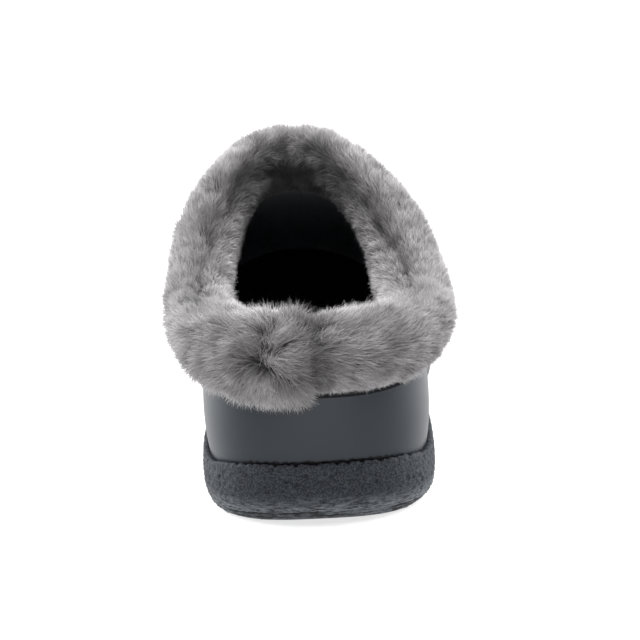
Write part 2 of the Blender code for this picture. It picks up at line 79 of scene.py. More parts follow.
MOULD_LINE_WIDTH, MOULD_LINE_WHOLE, MOULD_LINE_BREAKS = 0.42, 0.9, 2.2
MOULD_LINE_BREAK_SIZE, MOULD_LINES_APART = 14.0, 90.0  # the two lines break in different places


def eased(share):
    """0 to 1 with level ends."""
    share = np.clip(share, 0.0, 1.0)
    return share * share * (3.0 - 2.0 * share)


def eased_between(at, start, end):
    """0 up to the start and 1 from the end on, eased between them."""
    return eased((at - start) / (end - start))


def unit(vectors):
    return vectors / np.linalg.norm(vectors, axis=-1, keepdims=True)


def curve_through(places, values, at):
    """A smooth curve through the values at their places, read at other places."""
    places, values, at = (np.asarray(part, float) for part in (places, values, at))
    slopes = np.gradient(values, places)
    i = np.clip(np.searchsorted(places, at) - 1, 0, len(places) - 2)
    width = places[i + 1] - places[i]
    t = np.clip((at - places[i]) / width, 0.0, 1.0)
    return ((1 + 2 * t) * (1 - t) ** 2 * values[i] + t * (1 - t) ** 2 * width * slopes[i]
            + t * t * (3 - 2 * t) * values[i + 1] + t * t * (t - 1) * width * slopes[i + 1])


def walked(line):
    """How far along a line each of its points is."""
    return np.concatenate([[0.0], np.cumsum(np.linalg.norm(np.diff(line, axis=0), axis=1))])


def even_rows(first, second, count):
    """Two columns of a section table and their row numbers, at evenly spaced places along the section."""
    numbers = np.arange(len(first))
    dense = np.linspace(0, len(first) - 1, CURVE_SAMPLES)
    line = np.column_stack([curve_through(numbers, column, dense) for column in (first, second)])
    even = np.linspace(0.0, walked(line)[-1], count)
    return [np.interp(even, walked(line), column) for column in (*line.T, dense)]


def spring(y):
    return TOE_SPRING * np.clip((y - SPRING_FROM) / (SOLE_LENGTH - SPRING_FROM), 0.0, 1.0) ** 2


def tread_height(y):
    bevel = HEEL_BEVEL * np.clip(1.0 - y / HEEL_BEVEL_LENGTH, 0.0, 1.0) ** 2
    arch = ARCH_LIFT * np.sin(np.pi * np.clip((y - ARCH_FROM) / (ARCH_TO - ARCH_FROM), 0.0, 1.0)) ** 2
    return bevel + arch + spring(y)


def stepped(y, heel, ball):
    return heel + (ball - heel) * eased_between(y, STEP_FROM, STEP_TO) + spring(y)


def platform_height(y):
    return stepped(y, HEEL_PLATFORM, BALL_PLATFORM)


def rim_height(y):
    return stepped(y, HEEL_RIM, BALL_RIM) + BACK_RIM_LIFT * eased(1.0 - y / BACK_RIM_LENGTH)


def half_outline(side, steps):
    """One side of the sole from heel to toe, in even steps."""
    turn = np.linspace(0.0, np.pi / 2, CURVE_SAMPLES)
    heel_power, toe_power = 2.0 / HEEL_SQUARENESS, 2.0 / TOE_SQUARENESS
    heel_x = HEEL_HALF_WIDTH * np.sin(turn) ** heel_power
    heel_y = HEEL_ROUND * (1.0 - np.cos(turn) ** heel_power)
    body_y = np.linspace(HEEL_ROUND, side["ball_y"], CURVE_SAMPLES)[1:-1]
    to_waist = eased_between(body_y, HEEL_ROUND, side["waist_y"])
    to_ball = eased_between(body_y, side["waist_y"], side["ball_y"])
    body_x = (HEEL_HALF_WIDTH + (side["waist"] - HEEL_HALF_WIDTH) * to_waist
              + (side["ball"] - side["waist"]) * to_ball)
    tip = TOE_TIP_X * side["sign"]
    toe_x = tip + (side["ball"] - tip) * np.cos(turn) ** toe_power
    toe_y = side["ball_y"] + (SOLE_LENGTH - side["ball_y"]) * np.sin(turn) ** toe_power
    line = np.column_stack([np.concatenate([heel_x, body_x, toe_x]) * side["sign"],
                            np.concatenate([heel_y, body_y, toe_y])])
    even = np.linspace(0.0, walked(line)[-1], steps + 1)
    return np.column_stack([np.interp(even, walked(line), column) for column in line.T])


def joined_halves(lateral, medial):
    """A closed loop from the heel round the outer side to the toe and back along the inner side."""
    return np.concatenate([lateral, medial[-2:0:-1]])


class Outline:
    """The sole seen from above, as a closed loop with a number of steps from heel to toe."""

    def __init__(self, steps):
        shares = np.arange(steps + 1) / steps
        self.shares = joined_halves(shares, shares)
        self.sides = joined_halves(np.ones(steps + 1), -np.ones(steps + 1))
        self.points = joined_halves(half_outline(LATERAL, steps), half_outline(MEDIAL, steps))
        along = unit(np.roll(self.points, -1, axis=0) - np.roll(self.points, 1, axis=0))
        self.outward = np.column_stack([along[:, 1], -along[:, 0]])

    def inset(self, distance):
        return self.points - self.outward * distance


def lifted(plan, height):
    return np.column_stack([plan, np.broadcast_to(height, len(plan))])


def grid_normals(grid):
    """Normals of a grid of rings, which close on themselves in the second direction."""
    along = np.roll(grid, -1, axis=1) - np.roll(grid, 1, axis=1)
    return unit(np.cross(along, np.gradient(grid, axis=0)))


# The cup's inside follows the upper's outside, so the upper's form is worked out here.
UPPER_WALL, FEATHER_INSET, WALL_INSET = 2.0, 3.2, -0.6
COLLAR_BACK, COLLAR_FRONT, COLLAR_HALF_WIDTH = 3.5, 112.0, 33.0
COLLAR_LEAN, COLLAR_LEAN_POWER = -5.5, 1.6  # the throat leans to the inner side
COLLAR_WIDEST, COLLAR_FAN = 0.44, 0.35
COLLAR_TAPER, COLLAR_TAPER_POWER = 0.24, 1.5
COLLAR_BACK_SQUARENESS, COLLAR_FRONT_SQUARENESS = 2.7, 2.0
COLLAR_BACK_Z, COLLAR_DIP_Z, THROAT_Z = 58.6, 56.6, 88.1
COLLAR_DIP_Y, THROAT_RISE = 38.0, 1.4
UPPER_SECTIONS = {
    "share": (0.0, 0.22, 0.45, 0.66, 0.85, 1.0),
    "wall_rise": (0.26, 0.30, 0.36, 0.38, 0.41, 0.42),
    "crown_reach": (0.10, 0.15, 0.36, 0.36, 0.34, 0.34),
    "crown_rise": (0.68, 0.70, 0.72, 0.60, 0.46, 0.40),
}


def collar_edge(outline):
    """The upper's top edge: an egg in plan that dips at the sides and climbs to the throat."""
    back = 1.0 - outline.shares
    turn = np.pi * (0.5 - back * (COLLAR_FAN + (1.0 - COLLAR_FAN) * back))
    front = turn > 0.0
    power = 2.0 / np.where(front, COLLAR_FRONT_SQUARENESS, COLLAR_BACK_SQUARENESS)
    length = COLLAR_FRONT - COLLAR_BACK
    middle = COLLAR_BACK + COLLAR_WIDEST * length
    reach = np.where(front, COLLAR_FRONT - middle, middle - COLLAR_BACK)
    y = middle + reach * np.sign(turn) * np.abs(np.sin(turn)) ** power
    lean = COLLAR_LEAN * ((y - COLLAR_BACK) / length) ** COLLAR_LEAN_POWER
    narrowed = np.clip((y - middle) / (COLLAR_FRONT - middle), 0.0, 1.0) ** COLLAR_TAPER_POWER
    taper = 1.0 - COLLAR_TAPER * narrowed
    x = outline.sides * COLLAR_HALF_WIDTH * taper * np.cos(turn).clip(0.0) ** power + lean
    dip = eased_between(y, COLLAR_BACK, COLLAR_DIP_Y)
    climb = eased(np.clip((y - COLLAR_DIP_Y) / (COLLAR_FRONT - COLLAR_DIP_Y), 0.0, 1.0) ** THROAT_RISE)
    z = COLLAR_BACK_Z + (COLLAR_DIP_Z - COLLAR_BACK_Z) * dip + (THROAT_Z - COLLAR_DIP_Z) * climb
    return np.column_stack([x, y, z])


class UpperForm:
    """The outside of the upper, with a point and a normal at any distance below the collar's edge."""

    SAMPLES, EDGE_SAMPLES = 240, 10

    def __init__(self, outline):
        foot = outline.inset(FEATHER_INSET)
        self.base = platform_height(foot[:, 1]) + GAP
        start, end = lifted(foot, self.base), collar_edge(outline)
        wall_rise, crown_reach, crown_rise = (
            curve_through(UPPER_SECTIONS["share"], UPPER_SECTIONS[name], outline.shares)
            for name in ("wall_rise", "crown_reach", "crown_rise"))
        rise = end[:, 2] - start[:, 2]
        wall = lifted(outline.inset(WALL_INSET), start[:, 2] + wall_rise * rise)
        crown_plan = outline.points + (end[:, :2] - outline.points) * crown_reach[:, None]
        crown = lifted(crown_plan, start[:, 2] + crown_rise * rise)
        t = np.linspace(0.0, 1.0, self.SAMPLES)[:, None, None]
        curves = ((1 - t) ** 3 * start + 3 * (1 - t) ** 2 * t * wall
                  + 3 * (1 - t) * t ** 2 * crown + t ** 3 * end)
        normals = grid_normals(curves)
        climbs = [walked(curve) for curve in curves.transpose(1, 0, 2)]
        self.lengths = np.array([climb[-1] for climb in climbs])
        even = np.linspace(0.0, 1.0, self.SAMPLES)
        self.points, self.normals = (np.stack([
            np.column_stack([np.interp(even * climb[-1], climb, field[:, line, axis]) for axis in range(3)])
            for line, climb in enumerate(climbs)], axis=1)
            for field in (curves, normals))
        self.upward = unit(self.points[-1] - self.points[-self.EDGE_SAMPLES])

    def _read(self, field, down):
        at = (1.0 - np.clip(down / self.lengths, 0.0, 1.0)) * (self.SAMPLES - 1)
        low = np.minimum(at.astype(int), self.SAMPLES - 2)
        lines = np.arange(len(at))
        return field[low, lines] + (field[low + 1, lines] - field[low, lines]) * (at - low)[:, None]

    def ring(self, down, out=0.0):
        """A ring at a distance below the edge, moved out by a distance. Above the edge, down is negative."""
        down = np.broadcast_to(np.asarray(down, float), self.lengths.shape)
        out = np.broadcast_to(np.asarray(out, float), self.lengths.shape)
        raised = np.clip(-down, 0.0, None)[:, None] * self.upward
        return self._read(self.points, down) + out[:, None] * unit(self._read(self.normals, down)) + raised

    def rings(self, first, last, rows, out=0.0):
        """Rings in even steps from one share of the way down to another."""
        return [self.ring(self.lengths * share, out) for share in np.linspace(first, last, rows)]

    def down_at_height(self, height):
        """How far below the edge each curve passes a height on the lowest third of the wall."""
        low = self.SAMPLES // 3
        below = np.linspace(1.0, 0.0, self.SAMPLES)[:low]
        return self.lengths * np.array([
            np.interp(wanted, curve[:low, 2], below)
            for wanted, curve in zip(height, self.points.transpose(1, 0, 2))])


def noise_at(points, size):
    """Noise with waves of about a size, at each point of an array."""
    values = [noise.noise(Vector(point / size)) for point in points.reshape(-1, 3)]
    return np.array(values).reshape(points.shape[:-1])


def crumb_relief(points):
    """Height of the crumb grain at points of the wall: bumps, with pits where a grain has torn out."""
    heights = []
    for point in points:
        grain = noise.voronoi(Vector(point / CRUMB_SIZE))[0][0]
        fine = noise.noise(Vector(point / (FINE_CRUMB * CRUMB_SIZE)))
        distances, centres = noise.voronoi(Vector(point / PIT_SIZE))
        torn = noise.cell(centres[0] * PIT_PICK) < PIT_SHARE
        pit = torn * max(0.0, 1.0 - (distances[0] / PIT_RADIUS) ** 2)
        heights.append(CRUMB_HEIGHT * (1.0 - 2.0 * grain + FINE_CRUMB * fine) - PIT_DEPTH * pit)
    return np.array(heights)


sole = Outline(SOLE_STEPS)
heel_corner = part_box("outsole")[0]
# From the back of the heel to the part's own frame
row_shift = np.array([heel_corner[0] / MM - sole.points[:, 0].min(), heel_corner[1] / MM, 0.0])


def outsole_rings(form):
    """From the middle of the tread out to its edge, up the wall, over the rim and down into the cup."""
    groove_end = RIB_INSET + GROOVE_WIDTH
    rings = []
    for inset, depth in ((groove_end, 0.0), (groove_end - GROOVE_DRAFT, GROOVE_DEPTH),
                         (RIB_INSET + GROOVE_DRAFT, GROOVE_DEPTH), (RIB_INSET, 0.0), (TREAD_EDGE_INSET, 0.0)):
        plan = sole.inset(inset)
        rings.append(lifted(plan, tread_height(plan[:, 1]) + depth))
    tread_rows = len(rings)
    height = HEEL_RIM + BACK_RIM_LIFT
    rises, insets, _ = even_rows(np.array(SOLE_WALL["rise"]) * height, SOLE_WALL["inset"], SOLE_WALL_ROWS)
    wall = []
    for rise, inset in zip(rises / height, insets):
        plan = sole.inset(inset)
        bottom = tread_height(plan[:, 1])
        wall.append(lifted(plan, bottom + rise * (rim_height(plan[:, 1]) - bottom)))
    wall = np.array(wall)
    relief = crumb_relief(wall.reshape(-1, 3)).reshape(wall.shape[:2])
    relief *= eased(np.arange(SOLE_WALL_ROWS) / CRUMB_FADE_ROWS)[:, None]
    grooved = np.zeros(wall.shape[:2])
    for line in MOULD_LINES:
        off = (rises - line["rise"] * height) / MOULD_LINE_WIDTH
        broken = noise_at(lifted(sole.points, line["rise"] * MOULD_LINES_APART), MOULD_LINE_BREAK_SIZE)
        groove = np.exp(-off ** 2)[:, None] * eased(MOULD_LINE_WHOLE + MOULD_LINE_BREAKS * broken)
        relief -= line["depth"] * groove
        grooved = np.maximum(grooved, groove)
    wall += grid_normals(wall) * relief[..., None]
    gapes = eased_between(sole.shares, RIM_TIGHT_FROM, RIM_GAPES_TO)
    rag = noise_at(lifted(sole.points, RIM_RAG_LEVEL), RIM_RAG_SIZE)
    torn = (RIM_RAG * np.clip(rag + RIM_RAG_BIAS, 0.0, 1.0)
            * (RIM_RAG_SIDES + (1.0 - RIM_RAG_SIDES) * gapes))
    wall[-len(RIM_RAG_FADE):, :, 2] -= torn * np.array(RIM_RAG_FADE)[:, None]
    rings += list(wall)
    rim = wall[-1][:, 2] - RIM_GUTTER * gapes
    floor = platform_height(sole.inset(FEATHER_INSET)[:, 1])
    for share in np.linspace(1.0, 0.0, CUP_ROWS):
        level = np.maximum(floor + (rim - floor) * share, floor + GAP)
        rings.append(form.ring(form.down_at_height(level), GAP * gapes + RIM_TIGHT_GAP * (1.0 - gapes)))
    rings[-1][:, 2] = floor
    row_rises = np.concatenate([np.zeros(tread_rows), rises / height, np.ones(CUP_ROWS)])
    return rings, row_rises, np.pad(grooved, ((tread_rows, CUP_ROWS), (0, 0)))


def ring_mesh(name, rings, capped=False):
    """A mesh in metres from rings of points: a band that closes on itself, or a slab with filled ends."""
    rings = np.asarray(rings)
    count, lines = rings.shape[:2]
    index = np.arange(count * lines).reshape(count, lines)
    lower = index[:-1] if capped else index
    upper = index[1:] if capped else np.roll(index, -1, axis=0)
    quads = np.stack([lower, np.roll(lower, -1, axis=1), np.roll(upper, -1, axis=1), upper], axis=-1)
    faces = quads.reshape(-1, 4).tolist()
    if capped:
        for ring, turned in ((index[0], -1), (index[-1], 1)):
            for i in range(lines // 2):
                corners = dict.fromkeys((ring[i], ring[i + 1], ring[-i - 1], ring[-i]))
                faces.append([int(corner) for corner in corners][::turned])
    mesh = bpy.data.meshes.new(name)
    mesh.from_pydata(((rings.reshape(-1, 3) + row_shift) * MM).tolist(), [], faces)
    bm = bmesh.new()
    bm.from_mesh(mesh)
    bmesh.ops.recalc_face_normals(bm, faces=bm.faces)
    bm.to_mesh(mesh)
    bm.free()
    mesh.shade_smooth()
    return mesh


def store_values(mesh, name, values):
    """One number for each point of a mesh, for its material or its hair to read."""
    numbers = np.ravel(values).astype(np.float32)
    mesh.attributes.new(name, "FLOAT", "POINT").data.foreach_set("value", numbers)


def new_piece(name, mesh, *materials):
    piece = bpy.data.objects.new(name, mesh)
    bpy.context.scene.collection.objects.link(piece)
    for material in materials:
        mesh.materials.append(material)
    return piece


def linear(hex_colour):
    """An sRGB hex colour as the linear values that a shader takes."""
    values = [int(hex_colour[i:i + 2], 16) / 255 for i in (1, 3, 5)]
    return (*(v / 12.92 if v <= 0.04045 else ((v + 0.055) / 1.055) ** 2.4 for v in values), 1.0)


def set_inputs(node, inputs):
    """Sets inputs of a node, or links them where a socket is given, or a node for its first output."""
    for name, value in inputs.items():
        value = value.outputs[0] if isinstance(value, bpy.types.Node) else value
        if isinstance(value, bpy.types.NodeSocket):
            node.id_data.links.new(value, node.inputs[name])
        else:
            node.inputs[name].default_value = value


def add_node(tree, kind, inputs, stops=(), **settings):
    """A node with its inputs and settings, and a ramp's stops as pairs of a place and a colour."""
    node = tree.nodes.new(kind)
    for name, value in settings.items():
        setattr(node, name, value)
    set_inputs(node, inputs)
    for number, (position, colour) in enumerate(stops):
        marks = node.color_ramp.elements
        mark = marks[number] if number < len(marks) else marks.new(position)
        mark.position, mark.color = position, linear(colour)
    return node


def new_material(name):
    """A material with its node tree and its shader."""
    material = bpy.data.materials.new(name)
    material.use_nodes = True
    return material, material.node_tree, material.node_tree.nodes["Principled BSDF"]


def per_metre(millimetres):
    """The scale that gives a pattern a repeat of that size."""
    return 1.0 / (millimetres * MM)


# Sockets of a Mix node that share their names with others: the share, the two colours and the mixture
MIX_SHARE, COLOUR_A, COLOUR_B, MIXED_COLOUR = 0, 6, 7, 2

# Crumb rubber: ground rubber bonded in a mould. Dull slate grey with a grain as fine as sandpaper. Where the
# wall rolls under, the crumbs are drawn out into streaks along the edge, painted pale as light from the floor
# below.
crumb_rubber, tree, shader = new_material("moulded_crumb_rubber")
place = add_node(tree, "ShaderNodeTexCoord", {}).outputs["Object"]
crumbs = add_node(tree, "ShaderNodeTexNoise", {
    "Vector": place, "Scale": per_metre(0.55), "Detail": 2.0, "Roughness": 0.6})
crumb_tone = add_node(tree, "ShaderNodeValToRGB", {"Fac": crumbs}, ((0.38, "#0c0f13"), (0.66, "#33383f")))
drawn_out = add_node(tree, "ShaderNodeMapping", {
    "Vector": place, "Scale": (per_metre(3.0), per_metre(3.0), per_metre(0.4))})
streaks = add_node(tree, "ShaderNodeTexNoise", {
    "Vector": drawn_out, "Scale": 1.0, "Detail": 4.0, "Roughness": 0.75})
streaks_painted_pale = add_node(tree, "ShaderNodeValToRGB", {"Fac": streaks}, ((0.38, "#131518"), (0.62, "#73777c")))
wall_rise = add_node(tree, "ShaderNodeAttribute", {}, attribute_name="wall_rise")
rolled_under = add_node(tree, "ShaderNodeMapRange", {
    "Value": wall_rise.outputs["Fac"], "From Min": 0.50, "From Max": 0.12}, interpolation_type="SMOOTHSTEP")
# The rolled-under edge takes the pale streaks: the rubber's drawn-out crumbs, with painted light from the
# floor below.
rubber_tone = add_node(tree, "ShaderNodeMix", {
    MIX_SHARE: rolled_under, COLOUR_A: crumb_tone, COLOUR_B: streaks_painted_pale}, data_type="RGBA")
# Painted shade: the broken mould lines along the wall are darkened to near black in their grooves.
mould_line = add_node(tree, "ShaderNodeAttribute", {}, attribute_name="mould_line")
groove_painted_shade = add_node(tree, "ShaderNodeMix", {
    MIX_SHARE: mould_line.outputs["Fac"], COLOUR_A: rubber_tone.outputs[MIXED_COLOUR],
    COLOUR_B: linear("#0c0d0f")}, data_type="RGBA")
rough = add_node(tree, "ShaderNodeBump", {"Strength": 0.5, "Distance": 0.2 * MM, "Height": crumbs})
set_inputs(shader, {
    "Base Color": groove_painted_shade.outputs[MIXED_COLOUR], "Normal": rough, "Roughness": 0.82,
    "Specular IOR Level": 0.35})

sole_rings, sole_rises, sole_grooved = outsole_rings(UpperForm(sole))
outsole_mesh = ring_mesh("outsole", sole_rings, capped=True)
store_values(outsole_mesh, "wall_rise", np.repeat(sole_rises, len(sole.points)))
store_values(outsole_mesh, "mould_line", sole_grooved)
outsole = new_piece("crumb_outsole", outsole_mesh, crumb_rubber)

# Straight grooves across the heel and forefoot tread
inner_edge = sole.inset(CROSS_GROOVE_REACH)
bars = bmesh.new()
for groove_y in CROSS_GROOVES_AT:
    lateral_x = np.interp(groove_y, *inner_edge[:SOLE_STEPS + 1].T[::-1])
    medial_x = np.interp(groove_y, *inner_edge[SOLE_STEPS:][::-1].T[::-1])
    corners = bmesh.ops.create_cube(bars, size=1.0)["verts"]
    bmesh.ops.scale(bars, vec=(lateral_x - medial_x, GROOVE_WIDTH, 2 * GROOVE_DEPTH), verts=corners)
    middle = ((lateral_x + medial_x) / 2, groove_y, float(spring(groove_y)))
    bmesh.ops.translate(bars, vec=middle, verts=corners)
bmesh.ops.translate(bars, vec=row_shift, verts=bars.verts)
bmesh.ops.scale(bars, vec=(MM, MM, MM), verts=bars.verts)
bar_mesh = bpy.data.meshes.new("cross_grooves")
bars.to_mesh(bar_mesh)
bars.free()
bar_piece = new_piece("cross_grooves", bar_mesh, crumb_rubber)
cut = outsole.modifiers.new("cross_grooves", "BOOLEAN")
cut.operation, cut.object = "DIFFERENCE", bar_piece


def made_plain(piece):
    """Turns what a piece's modifiers give into its own mesh."""
    bpy.context.view_layer.update()
    graph = bpy.context.evaluated_depsgraph_get()
    mesh = bpy.data.meshes.new_from_object(piece.evaluated_get(graph), depsgraph=graph)
    piece.modifiers.clear()
    piece.data = mesh


made_plain(outsole)
bpy.data.objects.remove(bar_piece)
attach(outsole, "root")
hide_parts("outsole")

# Footbed: a die-cut slab of foam under black knitted cloth. It lies loose on the platform of the cup,
# inside the upper, and is pressed a little hollow at the heel.
FOOTBED_THICKNESS = 5.5
FOOTBED_STEPS, FOOTBED_ACROSS, FOOTBED_CROWDING = 150, 14, 1.4  # its rings crowd towards the edge
FOOTBED_EDGE, EDGE_DROP, EDGE_DROP_SHARE = 1.2, 0.35, 0.12  # its top edge is rounded
HEEL_HOLLOW, HEEL_HOLLOW_AT, HEEL_HOLLOW_LENGTH, HOLLOW_FULL_SHARE = 0.9, 38.0, 42.0, 0.7
RIB_SPACING, RIB_DEPTH = 0.8, 0.05
WAVE_REPEAT = np.pi / 10  # the length at which a wave texture of scale 1 repeats


def knitted_cloth(name, dark, pale):
    """Knitted cloth: matt and a little fuzzy, with the small ribs of a knit."""
    material, tree, shader = new_material(name)
    place = add_node(tree, "ShaderNodeTexCoord", {}).outputs["Object"]
    loops = add_node(tree, "ShaderNodeTexWave", {
        "Vector": place, "Scale": per_metre(RIB_SPACING) * WAVE_REPEAT, "Distortion": 1.5, "Detail": 1.0},
        bands_direction="X")
    fuzz = add_node(tree, "ShaderNodeTexNoise", {"Vector": place, "Scale": per_metre(0.5), "Detail": 2.0})
    cloth_tone = add_node(tree, "ShaderNodeValToRGB", {"Fac": fuzz}, ((0.0, dark), (1.0, pale)))
    knit = add_node(tree, "ShaderNodeBump", {
        "Strength": 0.5, "Distance": RIB_DEPTH * MM, "Height": loops.outputs["Fac"]})
    set_inputs(shader, {
        "Base Color": cloth_tone, "Normal": knit, "Roughness": 0.95, "Specular IOR Level": 0.15})
    return material


# Footbed cloth: a worn black, which only shows where light falls straight in through the collar.
footbed_cloth = knitted_cloth("black_knitted_cloth", "#3a3d41", "#464a4e")

footbed_form = UpperForm(Outline(FOOTBED_STEPS))
footbed_top = footbed_form.base + FOOTBED_THICKNESS
inside_upper = -(UPPER_WALL + GAP)
footbed_low = footbed_form.ring(footbed_form.lengths, inside_upper)
footbed_low[:, 2] = footbed_form.base
footbed_side, footbed_edge = (
    footbed_form.ring(footbed_form.down_at_height(footbed_top - drop), inside_upper)
    for drop in (FOOTBED_EDGE, 0.0))
footbed_rings = [footbed_low, footbed_side]
middle_line = (footbed_edge + np.roll(footbed_edge[::-1], 1, axis=0)) / 2
for inward in np.linspace(0.0, 1.0, FOOTBED_ACROSS)[:-1] ** FOOTBED_CROWDING:
    ring = footbed_edge + (middle_line - footbed_edge) * inward
    near_heel = np.exp(-((ring[:, 1] - HEEL_HOLLOW_AT) / HEEL_HOLLOW_LENGTH) ** 2)
    ring[:, 2] = (footbed_top - EDGE_DROP * (1.0 - eased(inward / EDGE_DROP_SHARE))
                  - HEEL_HOLLOW * near_heel * eased(inward / HOLLOW_FULL_SHARE))
    footbed_rings.append(ring)
footbed = new_piece("cloth_footbed", ring_mesh("footbed", footbed_rings, capped=True), footbed_cloth)
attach(footbed, "root")
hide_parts("insole")

# Upper: smooth coated leather about 1.2 mm thick, lasted over the foot's form and cemented into the cup.
# It is closed at the heel and toe, and its collar edge is covered by the fur cuff.
UPPER_STEPS, UPPER_ROWS, LEATHER_BACK_ROWS = 200, 64, 12
LEATHER_THICKNESS = 1.2
SLACK_SIZE, SLACK_HEIGHT, SLACK_FADE = 38.0, 0.12, 1 / 3  # slow waves that lasted leather keeps

# Coated leather: a smooth sprayed finish in dark blue-grey with a satin gloss and a very fine pore grain.
# Along the sole's rim a ragged matt black line of painted shade shows.
RIM_SHADE_HEIGHT, RIM_SHADE_RAG, RIM_SHADE_SOFT, RIM_SHADE_ROUGHNESS = 0.4, 1.0, 0.4, 0.95
RIM_SHADE_TO, RIM_SHADE_NONE, RIM_SHADE_FADE = 0.07, 0.12, 3.0  # the painted shade is left off the sides
NUMBER_A, NUMBER_B = 2, 3  # sockets of a Mix node of numbers, as for colours
coated_leather, tree, shader = new_material("smooth_coated_leather")
place = add_node(tree, "ShaderNodeTexCoord", {}).outputs["Object"]
pores = add_node(tree, "ShaderNodeTexVoronoi", {"Vector": place, "Scale": per_metre(0.45)})
cloudy = add_node(tree, "ShaderNodeTexNoise", {"Vector": place, "Scale": per_metre(22.0), "Detail": 2.0})
hide_tone = add_node(tree, "ShaderNodeValToRGB", {"Fac": cloudy}, ((0.0, "#0c151e"), (1.0, "#121b24")))
# Painted shade: a ragged matt black band on the leather just above the sole's rim, mostly at the back.
above_rim = add_node(tree, "ShaderNodeAttribute", {}, attribute_name="above_rim")
ragged = add_node(tree, "ShaderNodeTexNoise", {"Vector": place, "Scale": per_metre(1.6), "Detail": 2.0})
ragged_height = add_node(tree, "ShaderNodeMath", {
    0: ragged, 1: 2.0 * RIM_SHADE_RAG, 2: above_rim.outputs["Fac"]}, operation="MULTIPLY_ADD")
bare = add_node(tree, "ShaderNodeMapRange", {
    "Value": ragged_height, "From Min": RIM_SHADE_HEIGHT + (1.0 - RIM_SHADE_SOFT) * RIM_SHADE_RAG,
    "From Max": RIM_SHADE_HEIGHT + (1.0 + RIM_SHADE_SOFT) * RIM_SHADE_RAG}, interpolation_type="SMOOTHSTEP")
hide_or_rim_shade = add_node(tree, "ShaderNodeMix", {
    MIX_SHARE: bare, COLOUR_A: linear("#0b0c0e"), COLOUR_B: hide_tone}, data_type="RGBA")
satin = add_node(tree, "ShaderNodeMapRange", {"Value": cloudy, "To Min": 0.42, "To Max": 0.48})
satin_or_matt = add_node(tree, "ShaderNodeMix", {
    MIX_SHARE: bare, NUMBER_A: RIM_SHADE_ROUGHNESS, NUMBER_B: satin}, data_type="FLOAT")
grain = add_node(tree, "ShaderNodeBump", {"Strength": 0.06, "Distance": 0.05 * MM, "Height": pores})
set_inputs(shader, {
    "Base Color": hide_or_rim_shade.outputs[MIXED_COLOUR], "Normal": grain, "Roughness": satin_or_matt,
    "Specular IOR Level": 0.32})

upper_outline = Outline(UPPER_STEPS)
upper_form = UpperForm(upper_outline)
leather_face = np.array(upper_form.rings(1.0, 0.0, UPPER_ROWS))
upper_shares = np.linspace(1.0, 0.0, UPPER_ROWS)
slack = SLACK_HEIGHT * (eased(1.0 - upper_shares) * eased(upper_shares / SLACK_FADE))[:, None]
leather_face += grid_normals(leather_face) * (slack * noise_at(leather_face, SLACK_SIZE))[..., None]
feather_z = leather_face[0][:, 2]
leather_back = upper_form.rings(0.0, 1.0, LEATHER_BACK_ROWS, -LEATHER_THICKNESS)
leather_back[-1][:, 2] = feather_z
leather_rings = np.array([*leather_face, *leather_back])
upper_mesh = ring_mesh("upper", leather_rings)
# The painted shade along the rim fades out towards the sides.
side_free_of_shade = RIM_SHADE_FADE * eased_between(upper_outline.shares, RIM_SHADE_TO, RIM_SHADE_NONE)
store_values(upper_mesh, "above_rim",
             leather_rings[..., 2] - rim_height(upper_outline.points[:, 1]) + side_free_of_shade)
upper = new_piece("leather_upper", upper_mesh, coated_leather)
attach(upper, "root")
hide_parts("upper")

# Lining: grey knitted cloth, bonded to the inside of the leather from the sole to under the fur. It is in
# deep shade, so that it only shows as a soft gleam at the top of the opening.
LINING_GLUE, LINING_BACK_ROWS, LINING_FACE_ROWS = 0.1, 12, 36
lining_cloth = knitted_cloth("grey_knitted_cloth", "#8a8e93", "#989ca1")
lining_back = upper_form.rings(1.0, 0.0, LINING_BACK_ROWS, -LEATHER_THICKNESS - LINING_GLUE)
lining_face = upper_form.rings(0.0, 1.0, LINING_FACE_ROWS, -UPPER_WALL)
for ring in (lining_back[0], lining_face[-1]):
    ring[:, 2] = feather_z
lining = new_piece("cloth_lining", ring_mesh("lining", lining_back + lining_face), lining_cloth)
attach(lining, "root")

# Fur cuff, backing: a strip of knitted backing folded over the collar, sewn to the upper and butted at the
# back of the heel. It is the colour of the hair's roots, darkened as painted shade deep in the pile, and only
# shows where the pile parts.
CUFF_COVERS = (15.0, 8.0)
CUFF_REACH_INSIDE = 11.0
BACKING_SECTION = {
    "down": (16.2, 17.0, 14.0, 8.8, 2.8, -1.6, -3.4, -3.4, -3.6, -2.6, 2.2, 8.6, 13.2, 13.6),
    "out": (2.4, 5.0, 8.4, 9.8, 9.2, 6.6, 3.8, 0.6, -2.6, -5.2, -7.2, -7.0, -5.2, -3.0),
}
# How the cuff fits round the collar: the outer fold is deepest at the back, on the inner end of the strip,
# and hangs less towards the throat, where the inner fold sinks into the opening.
CUFF_FIT = {
    "share": (0.0, 0.10, 0.20, 0.30, 0.40, 0.50, 0.60, 0.70, 0.82, 1.0),
    "lateral_depth": (0.98, 0.98, 0.97, 0.92, 0.89, 0.85, 0.82, 0.80, 0.80, 0.80),
    "medial_depth": (1.12, 1.05, 0.98, 0.95, 0.90, 0.85, 0.82, 0.80, 0.80, 0.80),
    "outer_puff": (1.00, 1.01, 1.02, 0.98, 1.08, 1.15, 0.98, 0.91, 1.03, 0.98),
    "lateral_inner": (0.80, 1.20, 1.30, 1.32, 1.22, 0.80, 0.80, 0.88, 0.88, 0.85),
    "medial_inner": (0.80, 1.20, 1.30, 1.20, 0.90, 0.74, 0.80, 0.88, 0.88, 0.85),
    "inner_sink": (0.0, 0.0, 0.0, 0.0, 0.4, 1.2, 2.2, 3.4, 4.4, 5.5),
}
BACKING_ROWS = 56
OUTSIDE_FROM, SUNK_FROM = 2.0, -3.0  # how far out or in the fit of a fold counts in full
